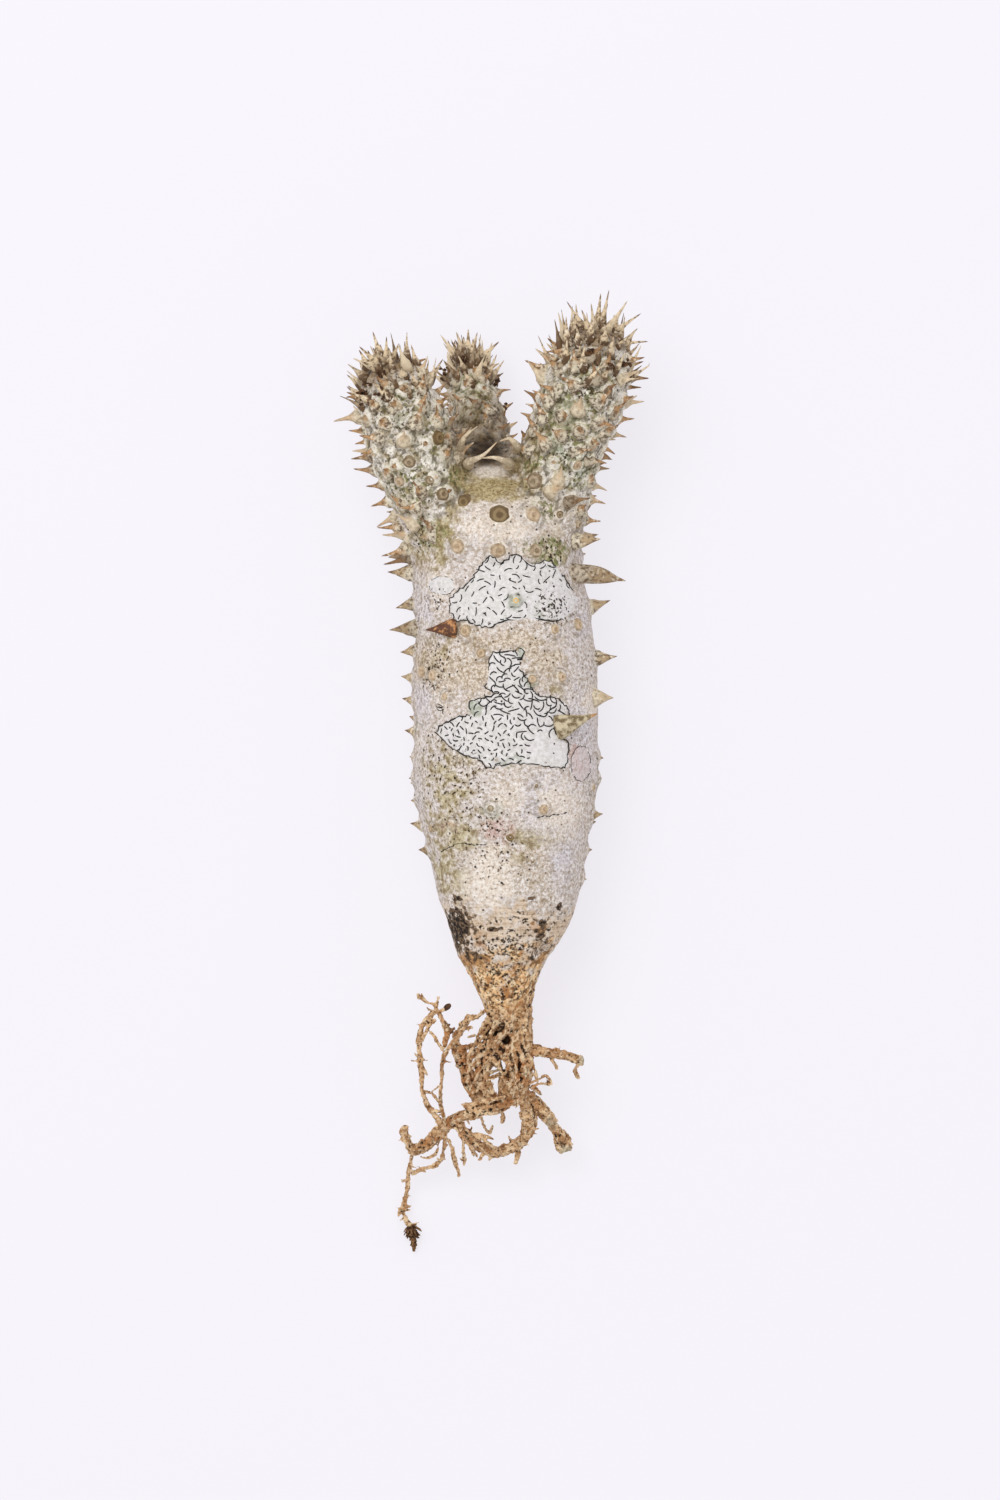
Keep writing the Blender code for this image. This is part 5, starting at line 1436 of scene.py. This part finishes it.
def bark_finish():
    f = Finish("bark_of_many_colours", 0.88, 0.2)
    sandy = f.patches(0.34, 0.42, 0.6)
    coarse = f.patches(0.8, 0.42, 0.6)
    broad = f.patches(6.0, 0.35, 0.65)
    ragged = f.patches(1.6, 0.38, 0.62)
    grainy = f.patches(0.5, 0.53, 0.6)
    f.colour = f.blend(sandy, (246, 240, 234), (194, 175, 154))
    f.over(broad, (218, 211, 211), 0.55)
    f.over(coarse, (190, 175, 158), 0.3)
    torn = f.centred(ragged)

    def layer(attribute, paint, strength=1.0, tear=0.5):
        """A colour where an attribute is strong, torn at its edges by the ragged patches."""
        amount = f.attribute(attribute)
        mask = f.ramp(f.plus(amount, f.both(torn, tear)), 0.15, 0.85)
        f.over(f.both(f.both(mask, strength), f.ramp(amount, 0.02, 0.2)), paint)

    layer("tan", f.blend(sandy, (230, 217, 198), (172, 150, 122)), 0.9)
    layer("moss", f.blend(coarse, (206, 194, 156), (142, 124, 82)), 0.9, 0.8)
    layer("grey", f.blend(sandy, (234, 230, 234), (196, 188, 190)), 0.8)
    # The arms: pale crust with olive between
    arm = f.attribute("arm")
    crust = f.blend(f.patches(1.3, 0.5, 0.62), (255, 251, 238), (160, 146, 98))
    f.over(arm, crust, 0.7)
    f.over(grainy, (130, 112, 82), 0.5)
    layer("pale", f.blend(sandy, (248, 239, 226), (222, 205, 186)), 0.85)
    layer("olive", f.blend(sandy, (196, 180, 136), (140, 119, 76)), 0.95)
    algae = f.both(f.ramp(f.attribute("algae"), 0.05, 0.6), f.patches(0.6, 0.49, 0.56))
    f.over(algae, f.blend(coarse, (142, 142, 92), (98, 104, 64)))
    # The foot: cream and tan flakes, then golden-brown cork
    flake, rust, cork = f.attribute("flake"), f.attribute("rust"), f.attribute("cork")
    streaks = f.placed("patches", {"Place": f.stretched(f.place, (0.22, 1.9, 0.22)), "Size": 0.9, "Low": 0.4,
                                   "High": 0.62})
    rusty = f.blend(streaks, (234, 213, 186), (188, 158, 124))
    rusty = f.blend(f.patches(1.4, 0.5, 0.6), rusty, (230, 216, 200))
    mixed = f.centred(f.patches(3.0, 0.3, 0.7))
    start = f.plus(rust, f.plus(f.both(torn, 0.7), f.both(mixed, 1.1)))
    f.over(f.both(f.ramp(start, 0.1, 0.9), f.ramp(rust, 0.0, 0.2, 0.0, 0.85)), rusty)
    corky = f.blend(f.ramp(flake, 0.03, 0.26), (84, 54, 32), (240, 198, 146))
    corky = f.blend(f.patches(1.2, 0.5, 0.6), corky, (192, 138, 84))
    corky = f.blend(f.patches(0.7, 0.53, 0.6), corky, (248, 224, 184))
    corky = f.blend(f.both(f.patches(2.4, 0.5, 0.6), 0.4), corky, (160, 106, 62))
    start = f.plus(cork, f.plus(f.both(torn, 0.8), f.both(mixed, 1.2)))
    f.over(f.both(f.ramp(start, 0.2, 0.8), f.ramp(cork, 0.0, 0.15)), corky)
    f.over(f.both(f.ramp(rust, 0.3, 0.9), f.patches(0.55, 0.57, 0.62)), (44, 32, 24))
    f.over(f.both(f.ramp(cork, 0.1, 0.6), f.patches(1.1, 0.6, 0.66)), (64, 42, 26))
    layer("gold", f.blend(coarse, (200, 150, 96), (112, 72, 42)), 0.85, 0.9)
    layer("pink", f.blend(sandy, (228, 204, 192), (172, 126, 114)), 0.65, 1.0)
    f.over(f.ramp(f.attribute("bean"), -0.1, 0.3), (218, 204, 202), 0.6)
    f.over(f.patches(0.4, 0.54, 0.62), (146, 124, 98), 0.5)
    # White lichens
    lichen = f.plus(f.attribute("lichen"), f.both(torn, 0.4))
    white = f.blend(f.patches(0.5, 0.38, 0.66), (238, 234, 232), (208, 203, 198))
    white = f.blend(f.both(broad, 0.4), white, (220, 220, 210))
    f.over(f.ramp(lichen, -0.1, 0.1), white)
    layer("green", f.blend(coarse, (196, 202, 186), (140, 146, 118)), 0.75, 0.6)
    # Black: dots strewn over all, and the charred patches
    specks = f.attribute("specks")
    crowded = f.ramp(specks, 0.02, 0.12)
    low = f.sum("SUBTRACT", 0.665, f.both(specks, 0.14))
    fine = f.placed("patches", {"Size": 0.4, "Low": low, "High": f.plus(low, 0.03)})
    f.over(f.both(fine, crowded), (58, 46, 34))
    f.over(f.both(f.dots(1.3, 0.4, f.both(specks, 0.8)), crowded), (44, 36, 28))
    f.over(f.dots(2.2, 0.34, 0.4), (66, 54, 42))
    charred = f.plus(f.attribute("char"), f.both(f.centred(f.patches(0.8, 0.3, 0.7)), 1.1))
    black = f.blend(f.patches(0.4, 0.48, 0.6), (38, 31, 26), (128, 104, 80))
    f.over(f.ramp(charred, 0.4, 0.62), black)
    # Round each thorn: a dark ring, painted shade round the foot of its tubercle, and an olive slope
    knob = f.attribute("knob")
    ring = f.both(f.ramp(knob, 1.0, 1.25), f.ramp(knob, 1.5, 1.9, 1.0, 0.0))
    f.over(f.both(ring, f.plus(f.both(arm, 0.12), 0.16)), (112, 92, 64))
    slope = f.both(f.ramp(knob, 0.9, 1.2, 1.0, 0.0), f.plus(f.both(arm, 0.3), 0.2))
    f.over(slope, f.blend(coarse, (244, 236, 212), (170, 154, 110)))
    # Painted shade darkens the creases, and painted highlight lightens the crests on the arms
    pit = f.attribute("pit")
    f.over(f.both(f.ramp(pit, -0.06, -0.24), f.both(arm, 0.5)), (246, 241, 232))
    f.over(f.both(f.ramp(pit, 0.05, 0.17), f.plus(f.both(arm, 0.3), 0.4)), (78, 68, 40))
    f.over(f.attribute("shade"), f.blend(coarse, (138, 116, 86), (70, 54, 38)), 0.75)
    # Painted shade on the bark under each crown, dark between the scales
    f.over(f.attribute("ends"), f.blend(coarse, (150, 122, 86), (58, 38, 24)), 0.9)
    callus = f.blend(sandy, (238, 230, 218), (208, 194, 176))
    f.over(f.attribute("callus"), callus, 0.8)
    # Painted shade deep in the fork's hollow, darkest at its heart
    f.over(f.attribute("fork_hollow_shade"), f.blend(coarse, (66, 50, 36), (30, 21, 14)), 0.93)
    return f.finish(0.5, 0.7, 0.4)


def thorn_finish(name, foot, middle, tip, spread=0.5):
    """A thorn's colours from its foot to its point, streaked; spread is how far single thorns differ."""
    f = Finish(name, 0.6, 0.4)
    along, tone = f.attribute("along"), f.attribute("tone")
    dim = tuple(value * 0.68 for value in foot)
    f.colour = f.blend(f.patches(0.5, 0.42, 0.58), foot, dim)
    uneven = f.plus(along, f.both(f.centred(f.patches(0.8, 0.3, 0.7)), 0.3))
    f.over(f.ramp(uneven, 0.3, 0.52), middle)
    f.over(f.ramp(uneven, 0.72, 1.0), tip)
    f.over(f.patches(0.5, 0.5, 0.6), (98, 72, 46), 0.8)
    f.over(f.patches(0.6, 0.55, 0.64), (236, 222, 196), 0.8)
    f.over(f.both(f.ramp(tone, 0.35, 0.0), spread), (104, 78, 50))
    f.over(f.both(f.ramp(tone, 0.65, 1.0), spread), (226, 208, 176))
    leafy = f.blend(f.patches(0.7, 0.42, 0.58), (204, 190, 158), (116, 98, 66))
    leafy = f.blend(f.ramp(along, 0.75, 0.95), leafy, (178, 124, 72))
    f.over(f.ramp(tone, -0.4, -0.9), leafy)
    brown = f.blend(f.patches(0.7, 0.48, 0.62), (92, 56, 34), (196, 140, 88))
    f.over(f.ramp(tone, 1.4, 1.9), brown)
    return f.finish(0.3, 0.5, 0.2)


def button_finish():
    """The worn stumps of thorns: olive brown or pale, with a darker rim on the dark ones."""
    f = Finish("worn_thorn", 0.8, 0.25)
    along, tone = f.attribute("along"), f.attribute("tone")
    f.colour = f.blend(f.ramp(tone, 0.0, 0.9), (138, 116, 78), (222, 206, 182))
    f.over(f.patches(0.5, 0.45, 0.6), (112, 90, 62), 0.6)
    f.over(f.both(f.ramp(along, 0.7, 0.8), f.ramp(tone, 0.4, 0.7, 0.0, 0.4)), (196, 160, 116))
    f.over(f.both(f.ramp(along, 0.6, 0.8), f.ramp(tone, 1.1, 1.4)), (232, 190, 118))
    rim = f.both(f.ramp(along, 0.5, 0.7), f.ramp(along, 0.98, 0.86))
    f.over(f.both(rim, f.ramp(tone, 0.7, 0.1, 0.2, 0.55)), (84, 64, 42))
    return f.finish(0.5, 0.5, 0.15)


def tuft_finish():
    f = Finish("dark_root_hair", 0.85, 0.2)
    pit = f.attribute("pit")
    f.colour = f.blend(f.patches(0.5, 0.45, 0.6), (70, 46, 29), (142, 106, 70))
    # Painted shade in the hollows among the hairs
    f.over(f.ramp(pit, -0.02, 0.06), (30, 19, 13))
    return f.finish(0.3, 0.3, 0.06)


def crumb_finish():
    f = Finish("dark_dry_crumb", 0.8, 0.25)
    f.colour = f.blend(f.patches(0.5, 0.4, 0.6), (46, 28, 17), (104, 72, 46))
    return f.finish(0.6, 0.6, 0.2)


def script_finish():
    f = Finish("script_black", 0.75, 0.3)
    f.colour = f.blend(f.patches(0.5, 0.45, 0.65), (34, 34, 34), (62, 58, 54))
    return f.finish(0.2, 0.2, 0.05)


def root_finish():
    f = Finish("flaky_root_cork", 0.85, 0.22)
    pit, flake = f.attribute("pit"), f.attribute("flake")
    f.colour = f.blend(f.patches(0.9, 0.42, 0.6), (224, 186, 142), (164, 120, 78))
    f.over(f.patches(2.8, 0.48, 0.6), (138, 94, 56), 0.7)
    stained = f.blend(f.patches(1.0, 0.42, 0.58), (186, 124, 72), (112, 74, 44))
    f.over(f.both(f.attribute("stain"), f.ramp(f.patches(1.2, 0.3, 0.6), 0.1, 0.8)), stained)
    # Pale cream patches strewn at random, partly the cork's own pale flecks and partly painted highlight
    f.over(f.patches(1.0, 0.52, 0.6), (246, 222, 184), 0.6)
    # Painted shade in the creases between the flakes
    f.over(f.ramp(flake, 0.11, 0.015), (66, 42, 24), 0.88)
    f.over(f.patches(0.45, 0.58, 0.63), (62, 40, 24), 0.75)
    # Painted highlight on the crests, and painted shade deep in the hollows
    f.over(f.ramp(pit, -0.14, -0.3), (244, 220, 182), 0.6)
    f.over(f.ramp(pit, 0.03, 0.18), (40, 25, 15), 0.97)
    f.over(f.dots(1.0, 0.24, 0.4), (44, 29, 19), 0.9)
    f.over(f.attribute("pale"), f.blend(f.patches(0.4, 0.45, 0.6), (206, 198, 172), (150, 136, 104)))
    return f.finish(0.5, 0.8, 0.3)


def soil_finish():
    f = Finish("dry_soil_crumb", 0.95, 0.1)
    f.colour = f.blend(f.patches(0.4, 0.4, 0.6), (96, 66, 44), (150, 112, 78))
    return f.finish(1.0, 1.0, 0.3)


# ---------------------------------------------------------------- stage

FLOOR_SIZE = 6.0
FLOOR_LOOK = {
    "Base Color": srgb(130, 128, 133), "Emission Color": srgb(250, 248, 253), "Emission Strength": 0.73,
    "Roughness": 0.9, "Specular IOR Level": 0.0,
}
CAMERA_LENS = 300
FRAME_CENTRE = (2.25, 6.0, 25)
FRAME_HEIGHT = 375


def make_floor():
    bm = bmesh.new()
    bmesh.ops.create_grid(bm, x_segments=1, y_segments=1, size=FLOOR_SIZE / 2)
    floor = piece("floor", mesh_of("floor", bm))
    material = bpy.data.materials.new("pale_floor")
    material.use_nodes = True
    shader = material.node_tree.nodes["Principled BSDF"]
    for socket, value in FLOOR_LOOK.items():
        shader.inputs[socket].default_value = value
    floor.data.materials.append(material)


def make_lamp(name, place, target, size, power):
    light = bpy.data.lights.new(name, "AREA")
    light.shape = "SQUARE"
    light.size = size
    light.energy = power
    lamp = piece(name, light)
    lamp.location = place
    lamp.rotation_euler = (Vector(target) - Vector(place)).to_track_quat("-Z", "Y").to_euler()


def make_camera():
    data = bpy.data.cameras.new("camera")
    data.lens = CAMERA_LENS
    data.sensor_width = 36
    camera = piece("camera", data)
    x, y, z = FRAME_CENTRE
    away = FRAME_HEIGHT * CAMERA_LENS / data.sensor_width
    camera.location = (x * MM, y * MM, (z + away) * MM)
    bpy.context.scene.camera = camera


def make_stage():
    make_floor()
    make_camera()
    world = bpy.data.worlds.new("studio")
    world.use_nodes = True
    backdrop = world.node_tree.nodes["Background"]
    backdrop.inputs["Color"].default_value = srgb(252, 251, 255)
    backdrop.inputs["Strength"].default_value = 0.76
    bpy.context.scene.world = world
    make_lamp("softbox", (-0.22, 0.36, 1.0), (0, 0, 0.02), 0.6, 4.7)
    bpy.context.scene.view_settings.view_transform = "Standard"


# ---------------------------------------------------------------- the plant

def settle(thing, material, slot, *nodes):
    """Gives a piece its finish and its body, keeps it inside the construction's box, and hides the construction
    nodes that it stands for.
    """
    low, high = np.array(cad_box) / MM
    move_to(thing.data, np.clip(points_of(thing.data)[0], low + EDGE, high - EDGE))
    thing.data.materials.clear()
    thing.data.materials.append(material)
    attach(thing, "root")
    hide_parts(*nodes)


def make_plant():
    thorns = all_thorns()
    bark = make_bark(thorns)
    settle(bark, bark_finish(), "bark", "trunk", "arm_left", "arm_right", "arm_middle")
    settle(make_script(bark), script_finish(), "bark", "trunk")
    arm_thorn = thorn_finish("arm_thorn", (212, 200, 174), (182, 142, 98), (124, 82, 50), 0.6)
    trunk_thorn = thorn_finish("trunk_thorn", (214, 202, 178), (180, 156, 120), (112, 80, 54), 0.35)
    buttons = [thorn for thorn in thorns if thorn.shape == "button"]
    settle(make_thorns("trunk_buttons", buttons, BUTTON_SHAPE, 0.0, 14), button_finish(), "bark", "trunk")
    own = [thorn for thorn in thorns if thorn.stem == "trunk" and thorn.shape == "thorn"]
    settle(make_thorns("trunk_thorns", own, THORN_SHAPE, 0.16), trunk_thorn, "dry_spine", "trunk")
    for side in ARMS:
        own = [thorn for thorn in thorns if thorn.stem == side and thorn.shape == "thorn"]
        settle(make_thorns(f"arm_{side}_thorns", own, NEEDLE_SHAPE, 0.3), arm_thorn, "dry_spine", f"arm_{side}")
    for name, shape in SPECIAL_THORNS.items():
        settle(make_special_thorn(name, *shape), trunk_thorn, "dry_spine", "trunk")
    crown = thorn_finish("dried_crown", (110, 84, 56), (226, 204, 168), (104, 68, 42), 0.9)
    crumb = crumb_finish()
    for side in ARMS:
        settle(make_crown(side), crown, "dry_spine", f"crown_{side}")
        settle(make_crumbs(side), crumb, "dry_spine", f"crown_{side}")
    fork = thorn_finish("fork_spine", (158, 138, 108), (212, 192, 160), (196, 158, 112))
    for number, points in enumerate(FORK_SPINES, 1):
        settle(make_fork_spine(number, points), fork, "dry_spine", f"fork_spine_{number}")
    cork = root_finish()
    settle(make_taproot(), cork, "root_cork", "taproot")
    for name in ROOTS:
        settle(make_root(name), cork, "root_cork", name)
    settle(make_tuft(), tuft_finish(), "root_cork", "root_tuft")
    settle(make_bud(), crumb, "root_cork", "twig_left")
    settle(make_clod(), soil_finish(), "dry_soil", "soil_clod")


make_stage()
make_plant()
